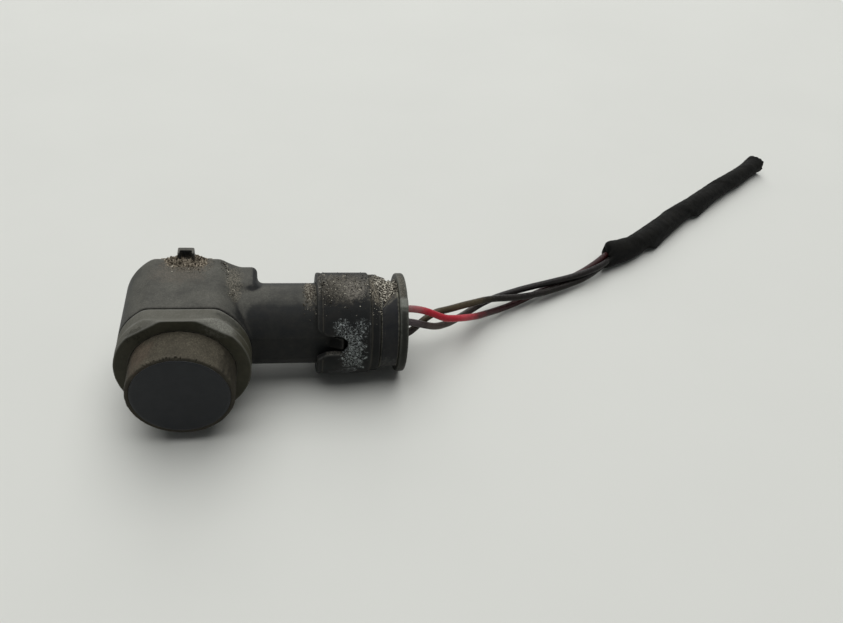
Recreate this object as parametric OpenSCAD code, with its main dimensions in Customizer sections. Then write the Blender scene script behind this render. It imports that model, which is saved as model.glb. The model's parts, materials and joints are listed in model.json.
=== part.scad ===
// Parking sensor with its mated plug and a short cut pigtail, in millimetres.
// The sensor axis is Y and the sound face looks along -Y. The origin is on that axis, in the plane of
// the bezel's front. The whole part leans a little about Y, so that it rests on its head and its plug.

/* [Head] */
// Diameter of the round head
head_d = 30.1; // [28:0.1:34]
// Height of the barrel's top flat above the sensor axis
barrel_flat = 12.9; // [12.6:0.1:14]
// Height of the bezel lip's top facet over the sensor axis, at the front
lip_top = 14.75; // [14.2:0.05:15]
// Distance of the bezel lip's two side facets from the sensor axis, at the front
lip_side = 14.4; // [13.8:0.05:14.8]
// Angle between the top facet and each side facet of the bezel lip
lip_turn = 32; // [26:1:36]
// Length of the housing's barrel behind the seam
barrel_len = 18.2; // [17:0.1:24]
// Wall of the housing
wall = 2; // [1.5:0.1:2.2]
// Length of the bezel from its front to the seam
bezel_len = 6.4; // [5.6:0.1:9]
// Length over which the bezel's front lip runs into its collar
lip_len = 2.8; // [2:0.1:3.6]
// Width of the open seam between the bezel and the barrel
seam_gap = 0.2; // [0.1:0.05:0.4]
// Chamfer on the outer edges of the head
edge = 0.4; // [0.2:0.05:0.6]

/* [Transducer] */
// Diameter of the aluminium cup that carries the sound face
cup_d = 21.6; // [17:0.1:22]
// How far the sound face stands in front of the bezel
cup_reach = 8.4; // [5:0.1:12]
// Depth of the cup's seat behind the bezel's front
seat_depth = 4.4; // [3.2:0.1:5.2]
// Wall of the cup's skirt
cup_wall = 1.3; // [0.8:0.1:2]
// Thickness of the sound face
face_t = 0.9; // [0.6:0.1:1.4]
// Wall of the silicone ring around the cup
ring_wall = 1; // [0.9:0.1:1.4]
// How far the ring in front of the bezel stands over its tail inside the bezel
ring_step = 0.3; // [0.2:0.05:0.5]
// How far the ring's front edge lies behind the sound face
ring_back = 0.2; // [0.1:0.05:0.6]
// Rounding of the ring's front edge
ring_round = 0.6; // [0.3:0.05:0.85]
// Diameter of the piezo disc
piezo_d = 9; // [7:0.1:12]
// Thickness of the piezo disc
piezo_t = 0.7; // [0.4:0.05:1]
// Thickness of the damping pad behind the piezo disc
pad_t = 4; // [2:0.1:5]
// Diameter of a piezo lead
lead_d = 0.6; // [0.4:0.05:0.8]
// Distance between the two piezo leads
lead_gap = 5; // [4:0.1:6]

/* [Electronics] */
// Thickness of the circuit board
board_t = 1.2; // [0.8:0.1:1.6]
// Depth of the free space in front of the board
board_room = 2.4; // [1.5:0.1:3]
// Width of the ledge under the board's edge
board_ledge = 1.2; // [0.8:0.1:1.6]
// Side of the drive transformer's core
core_w = 7; // [5:0.1:7.5]
// Height of the drive transformer over the board
core_h = 6; // [4:0.1:8]
// Thickness of the drive transformer's flanges
flange_t = 1.5; // [1:0.1:1.9]
// How far the drive transformer's winding lies inside the sides of its core
winding_in = 0.7; // [0.4:0.1:1.4]
// Diameter of the buffer capacitor
cap_can_d = 5; // [4:0.1:5.6]
// Height of the buffer capacitor over the board
cap_can_h = 6.5; // [4:0.1:8]
// Side of the driver chip
chip_w = 5.6; // [4:0.1:6]
// Height of the driver chip
chip_h = 1.6; // [1:0.1:2]
// Thickness of the rear cover
cover_t = 1.6; // [1.2:0.1:2.2]
// Width of the ledge under the rear cover's edge
cover_ledge = 0.6; // [0.4:0.1:0.8]

/* [Socket] */
// Outer diameter of the round socket neck
neck_d = 19.4; // [18.6:0.1:19.6]
// Distance of the neck's open end from the sensor axis
neck_end = 41; // [38:0.5:43]
// Wall of the neck around the socket
neck_wall = 1.8; // [1.5:0.1:2]
// Distance of the socket's floor from the sensor axis
floor_x = 23; // [21:0.5:24]
// Thickness of the socket's floor
floor_t = 3; // [2:0.1:4]
// Distance between neighbouring contacts
pitch = 4.2; // [4:0.05:4.4]
// Width of a contact blade
blade_w = 1.5; // [1.2:0.05:1.6]
// Thickness of a contact blade
blade_t = 0.64; // [0.5:0.01:0.8]
// Length of the catch on the neck
catch_len = 3.2; // [2.4:0.1:4]
// Width of the catch on the neck
catch_w = 3; // [2:0.1:3.6]
// Height of the catch over the neck
catch_h = 1.5; // [1:0.1:2]
// Length of the catch's flat top behind its ramp
catch_top = 0.6; // [0.3:0.1:1.2]
// Angle of the catch from the top of the neck towards the sound face
catch_angle = 76; // [60:1:90]

/* [Locating lugs] */
// Width of the index tab on the barrel's flat
tab_w = 3.8; // [3:0.1:5]
// Height of the index tab over the flat
tab_h = 3.1; // [2:0.1:4]
// Depth of the index tab
tab_len = 2.4; // [2:0.1:4]
// Depth of the pocket in the index tab, which is open in front and on top
tab_pocket = 1.2; // [0.6:0.1:1.6]
// Wall beside and under the pocket in the index tab
tab_wall = 0.6; // [0.4:0.05:0.8]
// Distance of the corner block's outer side from the sensor axis
block_x = 16.2; // [15.5:0.1:18]
// Height of the corner block's top above the sensor axis
block_top = 10.8; // [10.2:0.1:12]
// Depth of the corner block along the barrel
block_len = 8.2; // [6:0.1:10]
// Rounding of the corner block's upper edge
block_round = 1.4; // [0.5:0.1:2]

/* [Plug] */
// Radial gap between the plug's nose and the socket
nose_gap = 0.4; // [0.3:0.05:0.6]
// Outer diameter of the lock sleeve
sleeve_d = 24.5; // [23.6:0.1:26]
// Distance of the sleeve's front edge from the sensor axis
sleeve_x = 30; // [28.5:0.5:31]
// Length of the sleeve in front of its stepped rim
sleeve_len = 12.6; // [12:0.1:15]
// Length of the sleeve's stepped rim
rim_len = 2.2; // [1:0.1:3]
// How far the stepped rim lies below the sleeve
rim_step = 0.5; // [0.3:0.1:1]
// Length of the bead on the sleeve's front edge
bead_len = 1.1; // [0.8:0.1:1.6]
// Depth of the groove behind the bead, and its width
bead_groove = 0.2; // [0.1:0.05:0.3]
// Length of the notch in the sleeve's front edge
notch_len = 7.2; // [7:0.1:9]
// Width of the notch around the catch
notch_w = 4.6; // [4.2:0.1:6]
// Width of the notch's open mouth
mouth_w = 7.6; // [6.5:0.1:9]
// Depth of the funnel between the notch's mouth and its straight sides
mouth_len = 2.4; // [1.6:0.1:3]
// Diameter of the plug's rear body
rear_d = 19.8; // [19.8:0.1:21]
// Length of the shoulder that stops the sleeve
shoulder_len = 1.8; // [1.2:0.1:2.4]
// Height of the shoulder over the rear body
shoulder_h = 1.4; // [0.8:0.1:1.6]
// How much the shoulder falls off towards the rear cap
shoulder_fall = 0.6; // [0:0.1:0.7]
// Length of the rear body between its shoulder and the rear cap
rear_len = 2.6; // [2:0.1:5]
// Diameter of the rear cap
cap_d = 24.2; // [23.4:0.1:25]
// Thickness of the rear cap
cap_t = 2; // [1.4:0.1:3]
// Width of a finger lug on the rear cap's rim
lug_w = 2.2; // [1.6:0.1:3]
// How far a finger lug stands over the rim
lug_h = 0.4; // [0.2:0.1:0.8]
// Angle of the first finger lug from the top towards the sound face
lug_angle = 28; // [10:1:60]
// Height of the grip panel over the rear body
panel_h = 1.5; // [1:0.1:1.8]
// Angle of the grip panel's middle from the top towards the sound face
panel_angle = 75; // [60:1:90]
// Reach of the grip panel to each side of its middle, at the shoulder
panel_reach = 7.8; // [6:0.1:9]
// How much further the panel reaches up at the rear cap
panel_slant = 2.6; // [0:0.1:3]

/* [Contacts and seals] */
// Wall of the plug's nose in front of the contacts
nose_wall = 1.1; // [0.8:0.1:1.5]
// Side of a contact's square box
box_w = 2.5; // [2.3:0.05:2.7]
// Length of a contact's box
box_len = 11.3; // [10.5:0.1:12]
// Length of the blade inside the box
blade_grip = 8.5; // [6:0.1:9]
// Length of a contact's crimp barrel
crimp_len = 5.7; // [4:0.1:6]
// Distance of the interface seal's groove from the nose's front
groove_set = 6; // [4:0.1:8]
// Length of the interface seal's groove
groove_len = 5; // [4:0.1:6]
// Depth of the interface seal's groove
groove_depth = 0.9; // [0.6:0.1:1]
// Depth of the valleys between the interface seal's lips
lip_depth = 0.5; // [0.3:0.05:0.6]
// Diameter of the bore for a wire seal
seal_bore_d = 3.7; // [3.5:0.05:3.9]
// Depth of the bore for a wire seal
seal_bore_len = 4.7; // [4:0.1:5.5]

/* [Pigtail] */
// Diameter of one wire with its insulation
wire_d = 1.8; // [1.4:0.05:1.9]
// Outer diameter of the taped bundle where the tape starts
tape_d = 6.6; // [6:0.1:7]
// Outer diameter of the taped bundle at its cut end
tape_end_d = 5.6; // [5:0.1:6]
// Distance of a wire from the bundle's middle where the wires lie loose
loose_lay = 2.1; // [1.6:0.05:2.4]
// Twist of the three wires, in degrees for each millimetre of bundle
twist = 4.1; // [3:0.1:6]

/* [Clearances] */
// Gap of parts that sit tight in each other
snug = 0.05; // [0.02:0.01:0.1]
// Gap of parts that slide into each other
slide = 0.1; // [0.05:0.01:0.15]
// Gap between faces that stop each other
stop_gap = 0.4; // [0.2:0.05:0.6]

/* [Hidden] */
$fn = 96;
// Overlap that keeps cuts clear of coincident faces
cut = 1;

// Head, along Y
head_r = head_d / 2;
cup_r = cup_d / 2;
ring_r = cup_r + ring_wall;
tail_r = ring_r - ring_step;
bezel_bore_r = tail_r + snug;
bezel_lead = ring_r + slide - bezel_bore_r; // 45 degree lead that keeps the front face clear of the ring
barrel_y = bezel_len + seam_gap;
back_y = barrel_y + barrel_len;
bulkhead_y = barrel_y + wall;
board_y = bulkhead_y + board_room;
board_back_y = board_y + board_t;
cavity_r = head_r - wall;
cavity_flat = barrel_flat - wall;
pocket_r = cavity_r - board_ledge;
pocket_flat = cavity_flat - board_ledge;
cover_y = back_y - cover_t;
cover_r = cavity_r + cover_ledge;
cover_flat = cavity_flat + cover_ledge;
piezo_y = face_t - cup_reach;
pad_y = piezo_y + piezo_t;
filler_y = pad_y + pad_t;

// Neck and plug, along X
neck_y = barrel_y + barrel_len / 2;
neck_r = neck_d / 2;
socket_r = neck_r - neck_wall;
hollow_r = min(socket_r - board_ledge / 2, barrel_len / 2 - wall);
leg_x = pocket_r - blade_w - blade_t;
nose_r = socket_r - nose_gap;
nose_x = floor_x + stop_gap;
groove_r = nose_r - groove_depth;
groove_x = nose_x + groove_set;
rear_r = rear_d / 2;
rear_x = neck_end + stop_gap;
sleeve_r = sleeve_d / 2;
rim_x = sleeve_x + sleeve_len;
shoulder_x = rim_x + rim_len + slide;
shoulder_end = shoulder_x + shoulder_len;
cap_x = shoulder_end + rear_len;
cap_end = cap_x + cap_t;
cap_r = cap_d / 2;
notch_x = sleeve_x + notch_len - notch_w / 2;
catch_x = notch_x + sqrt(pow(notch_w / 2, 2) - pow(catch_w / 2, 2)) - stop_gap - catch_len;

// Contacts inside the plug
box_x = nose_x + nose_wall;
blade_end = box_x + blade_grip;
box_end = box_x + box_len;
crimp_r = box_w / 2;
wire_x = box_end + crimp_len;
seal_bore_r = seal_bore_d / 2;
seal_bore_x = cap_x - seal_bore_len;

// The lean that lets the head and the rear cap touch the same surface
rest_z = -head_r;
lean = atan2(cap_end, cap_r) - acos(head_r / norm([cap_end, cap_r]));

// Route of the pigtail's middle after the rear cap: X, Y and height over the resting surface
loose_route = [
    [56, 16.5, 11.6], [60.5, 18, 10.4], [64.5, 20.2, 8.9], [68, 22.8, 7.5], [71.5, 25.4, 6.3],
    [75.3, 28.2, 5.2], [79, 30.4, 4.3], [83, 32.3, 3.6], [87.5, 34.2, 3.2], [92, 36, 3],
    [96.5, 37.7, 3], [101, 39.5, 3], [105.5, 41.4, 3.1], [109.8, 43.9, 3.2], [113.2, 46.4, 3.3]];
tape_route = [
    [116.2, 48.9, 3.4], [120, 51, 3.4], [124, 53.4, 3.4], [129, 57, 3.3], [134, 60.8, 3.3],
    [139.5, 65.2, 3.2], [145, 69.6, 3.2], [151, 74, 3.1], [157, 78.4, 3.1], [163.3, 83, 3],
    [169.6, 87.6, 3], [177, 93.1, 2.9], [184, 98.3, 2.9]];

// Point of the leaning plug, in the frame of the resting part
function leaned(p) = [p[0] * cos(lean) + p[2] * sin(lean), p[1], p[2] * cos(lean) - p[0] * sin(lean)];
function on_floor(list) = [for (p = list) [p[0], p[1], rest_z + p[2]]];

// Middle line of the pigtail from the crimps to the cut end, and where it leaves the cap and meets the tape
pigtail = concat([for (x = [wire_x, seal_bore_x, cap_end]) leaned([x, neck_y, 0])],
    on_floor(loose_route), on_floor(tape_route));
exit_at = 2;
tape_at = exit_at + len(loose_route) + 1;
last_at = len(pigtail) - 1;

// Length along the middle line, counted from the rear cap
function run(k) = k <= exit_at ? 0 : run(k - 1) + norm(pigtail[k] - pigtail[k - 1]);
tape_run = run(tape_at);

// Sides of the wires' and the taped bundle's tubes
wire_sides = 8;
tape_sides = 12;
// Distance from the middle at which three wires lie side by side
tight_lay = wire_d / sqrt(3) + snug;
// Run over which the wires leave their row, and run before the tape over which they close up
fan_run = 11.6;
close_run = 36;
// Run at which the brown wire is highest, and how far the view of the twist is turned there
top_run = 13;
top_turn = -57;
// How far the two wires that swap places bow out to pass each other
pass_bow = 0.4;

function unit(v) = v / norm(v);
function along(k) = unit(pigtail[min(k + 1, last_at)] - pigtail[max(k - 1, 0)]);
function sideways(k) = unit(cross(along(k), [0, 0, 1]));
function upright(k) = cross(sideways(k), along(k));
function ease(t) = let (s = max(0, min(1, t))) s * s * (3 - 2 * s);

// One wire of the three: first in a row, then bowed out to one side, then twisted round the middle line
function wire_point(k, row, phase, side) =
    let (
        s = run(k),
        frame = k <= exit_at ? 0 : k,
        fan = ease(s / fan_run),
        lay = loose_lay + (tight_lay - loose_lay) * ease((s - tape_run + close_run) / close_run),
        turn = twist * (s - top_run) + top_turn + phase,
        up = (1 - fan) * row * pitch + fan * lay * cos(turn),
        out = fan * lay * sin(turn) + side * pass_bow * 4 * fan * (1 - fan)
    )
    pigtail[k] + up * upright(frame) + out * sideways(frame);

// Closed tube through points beside the pigtail's own points, with its rings square to the middle line
module tube(line, radii, sides, from = 0) {
    last = len(line) - 1;
    rings = [for (k = [0:last]) for (i = [0:sides - 1]) let (a = 360 * i / sides)
        line[k] + radii[k] * (cos(a) * upright(from + k) + sin(a) * sideways(from + k))];
    walls = [for (k = [0:last - 1]) for (i = [0:sides - 1]) let (j = (i + 1) % sides)
        [k * sides + i, k * sides + j, (k + 1) * sides + j, (k + 1) * sides + i]];
    start = [for (i = [0:sides - 1]) sides - 1 - i];
    end = [for (i = [0:sides - 1]) last * sides + i];
    polyhedron(rings, concat(walls, [start, end]), convexity = 6);
}

// Shape of revolution about Y from points of radius and Y
module turned_y(points) {
    rotate([-90, 0, 0])
        rotate_extrude()
            polygon(points);
}

// Shape of revolution about the neck's axis from points of radius and X
module turned_x(points) {
    translate([0, neck_y, 0])
        rotate([0, 90, 0])
            rotate_extrude()
                polygon(points);
}

// Round bar along Y between two places
module bar_y(r, y0, y1) {
    translate([0, y0, 0])
        rotate([-90, 0, 0])
            cylinder(r = r, h = y1 - y0);
}

// Round bar along X between two places, at a height over the neck's axis
module bar_x(r, x0, x1, z = 0) {
    translate([x0, neck_y, z])
        rotate([0, 90, 0])
            cylinder(r = r, h = x1 - x0);
}

// Block between two corners
module block(low, high) {
    translate(low)
        cube(high - low);
}

// Square bar along X on the neck's axis, with a thickness along Y and a width along Z
module flat_x(x0, x1, t, w) {
    block([x0, neck_y - t / 2, -w / 2], [x1, neck_y + t / 2, w / 2]);
}

// Round bar along Y with a flat on top
module flat_bar(r, flat, y0, y1) {
    intersection() {
        bar_y(r, y0, y1);
        block([-r - cut, y0 - cut, -r - cut], [r + cut, y1 + cut, flat]);
    }
}

// Flat-topped disc with a chamfer on both round edges
module flat_disc(r, flat, y0, y1, c0, c1) {
    intersection() {
        turned_y([[0, y0], [r - c0, y0], [r, y0 + c0], [r, y1 - c1], [r - c1, y1], [0, y1]]);
        block([-r - cut, y0 - cut, -r - cut], [r + cut, y1 + cut, flat]);
    }
}

// Turns its children about the neck's axis, from the top towards the sound face
module round_neck(angle) {
    translate([0, neck_y, 0])
        rotate([angle, 0, 0])
            children();
}

// Places its children at each of the three contacts
module each_contact() {
    for (row = [-1:1])
        translate([0, 0, row * pitch])
            children();
}

// Two holes or two leads through the transducer
module lead_pair(r, y0, y1) {
    for (side = [-1, 1])
        translate([side * lead_gap / 2, 0, 0])
            bar_y(r, y0, y1);
}

// Leans the built part onto its resting surface
module resting() {
    rotate([0, lean, 0])
        children();
}

module catch() {
    round_neck(catch_angle)
        translate([0, catch_w / 2, 0])
            rotate([90, 0, 0])
                linear_extrude(catch_w)
                    polygon([
                        [catch_x, neck_r - cut / 2],
                        [catch_x, neck_r],
                        [catch_x + catch_len - catch_top, neck_r + catch_h],
                        [catch_x + catch_len, neck_r + catch_h],
                        [catch_x + catch_len, neck_r - cut / 2]]);
}

module index_tab() {
    difference() {
        block([-tab_w / 2, back_y - tab_len, barrel_flat - cut / 2],
            [tab_w / 2, back_y, barrel_flat + tab_h]);
        block([tab_wall - tab_w / 2, back_y - tab_len - cut, barrel_flat + tab_wall],
            [tab_w / 2 - tab_wall, back_y - tab_len + tab_pocket, barrel_flat + tab_h + cut]);
    }
}

// Block with one rounded upper edge, between the barrel and the neck
module corner_block() {
    block([0, back_y - block_len, 0], [block_x, back_y, block_top - block_round]);
    block([0, back_y - block_len, 0], [block_x - block_round, back_y, block_top]);
    translate([block_x - block_round, 0, block_top - block_round])
        bar_y(block_round, back_y - block_len, back_y);
}

// Neck, kept clear of the bezel in front and of the back face behind
module neck() {
    lead_in = neck_wall / 3;
    difference() {
        turned_x([[0, 0], [neck_r, 0], [neck_r, neck_end - edge],
            [neck_r - edge, neck_end], [0, neck_end]]);
        bar_y(head_r + seam_gap, -cut, barrel_y);
        bar_y(head_r, back_y, back_y + neck_r);
        turned_x([[0, floor_x], [socket_r, floor_x], [socket_r, neck_end - lead_in],
            [socket_r + lead_in, neck_end], [socket_r + lead_in, neck_end + cut], [0, neck_end + cut]]);
    }
}

module housing() {
    color([0.17, 0.165, 0.16])
        resting()
            difference() {
                union() {
                    flat_disc(head_r, barrel_flat, barrel_y, back_y, edge / 2, edge);
                    bar_y(tail_r, seat_depth, bulkhead_y);
                    neck();
                    corner_block();
                    index_tab();
                    catch();
                }
                flat_bar(pocket_r, pocket_flat, bulkhead_y, board_y + cut);
                flat_bar(cavity_r, cavity_flat, board_y, back_y);
                flat_bar(cover_r, cover_flat, cover_y, back_y + cut);
                bar_x(hollow_r, 0, floor_x - floor_t);
                lead_pair(lead_d / 2 + slide, seat_depth - cut, bulkhead_y + cut);
                each_contact()
                    flat_x(0, floor_x + cut, blade_t, blade_w);
            }
}

// Space over a facet of the lip, which slopes from one distance at the front to another at the lip's back
module lip_facet(angle, front, back) {
    slope = atan2(back - front, lip_len);
    rotate([0, angle, 0])
        translate([0, 0, front])
            rotate([slope, 0, 0])
                block([-head_r, -head_r, 0], [head_r, lip_len / cos(slope), head_r]);
}

module front_bezel() {
    color([0.15, 0.15, 0.14])
        resting()
            difference() {
                union() {
                    turned_y([[0, 0], [head_r - edge, 0], [head_r, edge], [head_r, lip_len], [0, lip_len]]);
                    flat_disc(head_r, barrel_flat, lip_len / 2, bezel_len, 0, edge / 2);
                }
                turned_y([[0, -cut], [bezel_bore_r + bezel_lead + cut, -cut], [bezel_bore_r, bezel_lead],
                    [bezel_bore_r, bezel_len + cut], [0, bezel_len + cut]]);
                lip_facet(0, lip_top, barrel_flat + edge / 4);
                for (side = [-1, 1])
                    lip_facet(side * lip_turn, lip_side, head_r + edge / 4);
            }
}

module transducer_cup() {
    color([0.07, 0.08, 0.1])
        resting()
            turned_y([
                [0, -cup_reach], [cup_r - edge / 2, -cup_reach], [cup_r, edge / 2 - cup_reach],
                [cup_r, seat_depth], [cup_r - cup_wall, seat_depth],
                [cup_r - cup_wall, piezo_y], [0, piezo_y]]);
}

module decoupling_ring() {
    front = ring_back - cup_reach;
    steps = 6;
    nose = [for (i = [0:steps]) let (a = 90 * i / steps)
        [ring_r - ring_round + ring_round * sin(a), front + ring_round - ring_round * cos(a)]];
    color([0.36, 0.31, 0.28])
        resting()
            turned_y(concat([[cup_r, seat_depth], [cup_r, front]], nose,
                [[ring_r, 0], [tail_r, 0], [tail_r, seat_depth]]));
}

module piezo_disc() {
    color([0.78, 0.74, 0.62])
        resting()
            bar_y(piezo_d / 2, piezo_y, pad_y);
}

module damping_pad() {
    color([0.3, 0.3, 0.32])
        resting()
            difference() {
                bar_y(cup_r - cup_wall, pad_y, filler_y);
                lead_pair(lead_d / 2 + snug, pad_y - cut, filler_y + cut);
            }
}

module cup_filler() {
    color([0.55, 0.53, 0.5])
        resting()
            difference() {
                bar_y(cup_r - cup_wall, filler_y, seat_depth);
                lead_pair(lead_d / 2 + snug, filler_y - cut, seat_depth + cut);
            }
}

module piezo_leads() {
    color([0.75, 0.72, 0.66])
        resting()
            lead_pair(lead_d / 2, pad_y, board_y);
}

module circuit_board() {
    color([0.1, 0.32, 0.18])
        resting()
            difference() {
                flat_bar(cavity_r - snug, cavity_flat - snug, board_y, board_back_y);
                each_contact()
                    block([leg_x - slide, board_y - cut, -blade_w / 2 - slide],
                        [leg_x + blade_t + slide, board_back_y + cut, blade_w / 2 + slide]);
            }
}

// Core with an upper and a lower flange and a wound waist
module drive_transformer() {
    side = core_w / 2;
    color([0.2, 0.19, 0.18])
        resting()
            translate([-cavity_r / 2, board_back_y, 0]) {
                block([-side, 0, -side], [side, flange_t, side]);
                bar_y(side - winding_in, 0, core_h);
                block([-side, core_h - flange_t, -side], [side, core_h, side]);
            }
}

module buffer_capacitor() {
    color([0.7, 0.71, 0.73])
        resting()
            translate([cap_can_d / 4, board_back_y, cavity_flat / 2])
                turned_y([[0, 0], [cap_can_d / 2, 0], [cap_can_d / 2, cap_can_h - edge],
                    [cap_can_d / 2 - edge, cap_can_h], [0, cap_can_h]]);
}

module driver_chip() {
    color([0.08, 0.08, 0.08])
        resting()
            translate([chip_w / 4, board_back_y, -cavity_r / 2])
                block([-chip_w / 2, 0, -chip_w / 2], [chip_w / 2, chip_h, chip_w / 2]);
}

// Row of small chip resistors and capacitors along the board's left and lower edge
module chip_components() {
    size = [1.6, 0.6, 0.8];
    row_r = cavity_r - 1.5 * size[0];
    color([0.62, 0.55, 0.42])
        resting()
            for (angle = [216:14:272])
                translate([row_r * cos(angle), board_back_y, row_r * sin(angle)])
                    block([-size[0] / 2, 0, -size[2] / 2], [size[0] / 2, size[1], size[2] / 2]);
}

// Blades bent from the board into the socket
module socket_pins() {
    color([0.8, 0.79, 0.74])
        resting()
            each_contact() {
                block([leg_x, board_y - blade_t, -blade_w / 2], [leg_x + blade_t, neck_y, blade_w / 2]);
                flat_x(leg_x, blade_end, blade_t, blade_w);
            }
}

module rear_cover() {
    color([0.13, 0.13, 0.13])
        resting()
            flat_bar(cover_r - snug, cover_flat - snug, cover_y, back_y);
}

// Raised panel on the side of the rear body that faces the front, with a slanting upper edge
module grip_panel() {
    panel_r = rear_r + panel_h;
    x0 = shoulder_x + edge;
    intersection() {
        turned_x([[nose_r, x0], [panel_r - edge, x0], [panel_r, x0 + edge],
            [panel_r, cap_x], [nose_r, cap_x]]);
        round_neck(panel_angle)
            linear_extrude(panel_r + cut)
                polygon([[x0, -panel_reach], [cap_x, -panel_reach],
                    [cap_x, panel_reach + panel_slant], [x0, panel_reach]]);
    }
}

module plug_body() {
    shoulder_r = rear_r + shoulder_h;
    channel = box_w + 2 * slide;
    entry = 4 * slide;
    color([0.12, 0.12, 0.12])
        resting()
            difference() {
                union() {
                    turned_x([
                        [0, nose_x], [nose_r - edge, nose_x], [nose_r, nose_x + edge],
                        [nose_r, groove_x], [groove_r, groove_x],
                        [groove_r, groove_x + groove_len], [nose_r, groove_x + groove_len],
                        [nose_r, rear_x], [rear_r, rear_x], [rear_r, shoulder_x],
                        [shoulder_r, shoulder_x], [shoulder_r - shoulder_fall, shoulder_end],
                        [rear_r, shoulder_end], [rear_r, cap_x], [0, cap_x]]);
                    grip_panel();
                }
                each_contact() {
                    flat_x(nose_x - cut, box_x, blade_t + entry, blade_w + entry);
                    flat_x(box_x, box_end + slide, channel, channel);
                    bar_x(crimp_r + slide, box_end, seal_bore_x + cut);
                    bar_x(seal_bore_r, seal_bore_x, cap_x + cut);
                }
            }
}

// Sleeve that snaps over the neck, with a funnel-shaped notch around the catch
module lock_sleeve() {
    bore_r = rear_r + slide;
    bead_x = sleeve_x + bead_len;
    flare = (mouth_w - notch_w) / 2 / mouth_len;
    open_w = mouth_w + 2 * flare * cut;
    steps = 16;
    round_end = [for (i = [0:steps]) let (a = 180 * i / steps - 90)
        [notch_x + notch_w / 2 * cos(a), notch_w / 2 * sin(a)]];
    color([0.14, 0.14, 0.13])
        resting()
            difference() {
                turned_x([
                    [bore_r, sleeve_x], [sleeve_r - edge, sleeve_x], [sleeve_r, sleeve_x + edge],
                    [sleeve_r, bead_x], [sleeve_r - bead_groove, bead_x + bead_groove],
                    [sleeve_r, bead_x + 2 * bead_groove], [sleeve_r, rim_x - edge],
                    [sleeve_r - edge, rim_x], [sleeve_r - rim_step, rim_x],
                    [sleeve_r - rim_step, rim_x + rim_len - edge],
                    [sleeve_r - rim_step - edge, rim_x + rim_len], [bore_r, rim_x + rim_len]]);
                round_neck(catch_angle)
                    linear_extrude(sleeve_r + cut)
                        polygon(concat(
                            [[sleeve_x - cut, -open_w / 2], [sleeve_x + mouth_len, -notch_w / 2]],
                            round_end,
                            [[sleeve_x + mouth_len, notch_w / 2], [sleeve_x - cut, open_w / 2]]));
            }
}

// Radial seal with three lips, in the groove of the plug's nose
// Each lip has a rise, a crest, a fall and a valley of one step each
module interface_seal() {
    lip_r = socket_r - snug;
    valley_r = lip_r - lip_depth;
    lips = 3;
    step = (groove_len - 2 * slide) / (4 * lips - 1);
    x0 = groove_x + slide;
    outline = [for (i = [0:lips - 1]) let (x = x0 + 4 * i * step) for (p = [
        [valley_r, x], [lip_r, x + step], [lip_r, x + 2 * step], [valley_r, x + 3 * step]]) p];
    color([0.55, 0.28, 0.16])
        resting()
            turned_x(concat([[groove_r, x0]], outline, [[groove_r, groove_x + groove_len - slide]]));
}

// Sockets of the crimped contacts, each with its crimp barrel
module crimp_terminals() {
    color([0.72, 0.68, 0.55])
        resting()
            each_contact()
                difference() {
                    union() {
                        flat_x(box_x, box_end, box_w, box_w);
                        bar_x(crimp_r, box_end - cut, wire_x);
                    }
                    flat_x(box_x - cut, blade_end + cut, blade_t + 2 * slide, blade_w + 2 * slide);
                }
}

module wire_seals() {
    lip_r = seal_bore_r - snug;
    x0 = seal_bore_x + slide;
    x1 = cap_x - slide;
    color([0.6, 0.3, 0.18])
        resting()
            each_contact()
                turned_x([[wire_d / 2, x0], [lip_r - edge, x0], [lip_r, x0 + edge], [lip_r, x0 + 3 * edge],
                    [lip_r - edge, x0 + 4 * edge], [lip_r - edge, x1 - 4 * edge], [lip_r, x1 - 3 * edge],
                    [lip_r, x1 - edge], [lip_r - edge, x1], [wire_d / 2, x1]]);
}

// Cap behind the wire seals, with two finger lugs on its rim
module rear_cap() {
    color([0.15, 0.15, 0.14])
        resting()
            difference() {
                union() {
                    turned_x([[0, cap_x], [cap_r - edge, cap_x], [cap_r, cap_x + edge],
                        [cap_r, cap_end - edge], [cap_r - edge, cap_end], [0, cap_end]]);
                    for (angle = [lug_angle, lug_angle + 180])
                        round_neck(angle)
                            block([cap_x, -lug_w / 2, cap_r - cut], [cap_end, lug_w / 2, cap_r + lug_h]);
                }
                each_contact()
                    bar_x(wire_d / 2 + slide, cap_x - cut, cap_end + cut);
            }
}

// One wire from its crimp to the face of the tape
module wire(row, phase, side) {
    line = [for (k = [0:tape_at]) wire_point(k, row, phase, side)];
    tube(line, [for (p = line) wire_d / 2], wire_sides);
}

module red_wire() {
    color([0.5, 0.1, 0.13])
        wire(1, 120, 0);
}

module brown_wire() {
    color([0.24, 0.2, 0.13])
        wire(-1, 0, -1);
}

module grey_wire() {
    color([0.25, 0.22, 0.22])
        wire(0, 240, 1);
}

module harness_tape() {
    line = on_floor(tape_route);
    last = len(line) - 1;
    radii = [for (k = [0:last]) (tape_d + (tape_end_d - tape_d) * k / last) / 2];
    color([0.05, 0.05, 0.05])
        tube(line, radii, tape_sides, tape_at);
}

housing();
front_bezel();
transducer_cup();
decoupling_ring();
piezo_disc();
damping_pad();
cup_filler();
piezo_leads();
circuit_board();
drive_transformer();
buffer_capacitor();
driver_chip();
chip_components();
socket_pins();
rear_cover();
plug_body();
lock_sleeve();
interface_seal();
crimp_terminals();
wire_seals();
rear_cap();
red_wire();
brown_wire();
grey_wire();
harness_tape();
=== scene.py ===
"""Dresses a used parking sensor: the weathered head, its mated plug and the cut pigtail.

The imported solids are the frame. Each visible solid is replaced by a finer surface that numpy works out in
millimetres of the part's own frame, before it leans onto its plug, and every finish is made of shader nodes.
"""

import json
import logging
import math
from collections.abc import Callable, Sequence
from dataclasses import dataclass, field, replace
from enum import Enum

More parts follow.
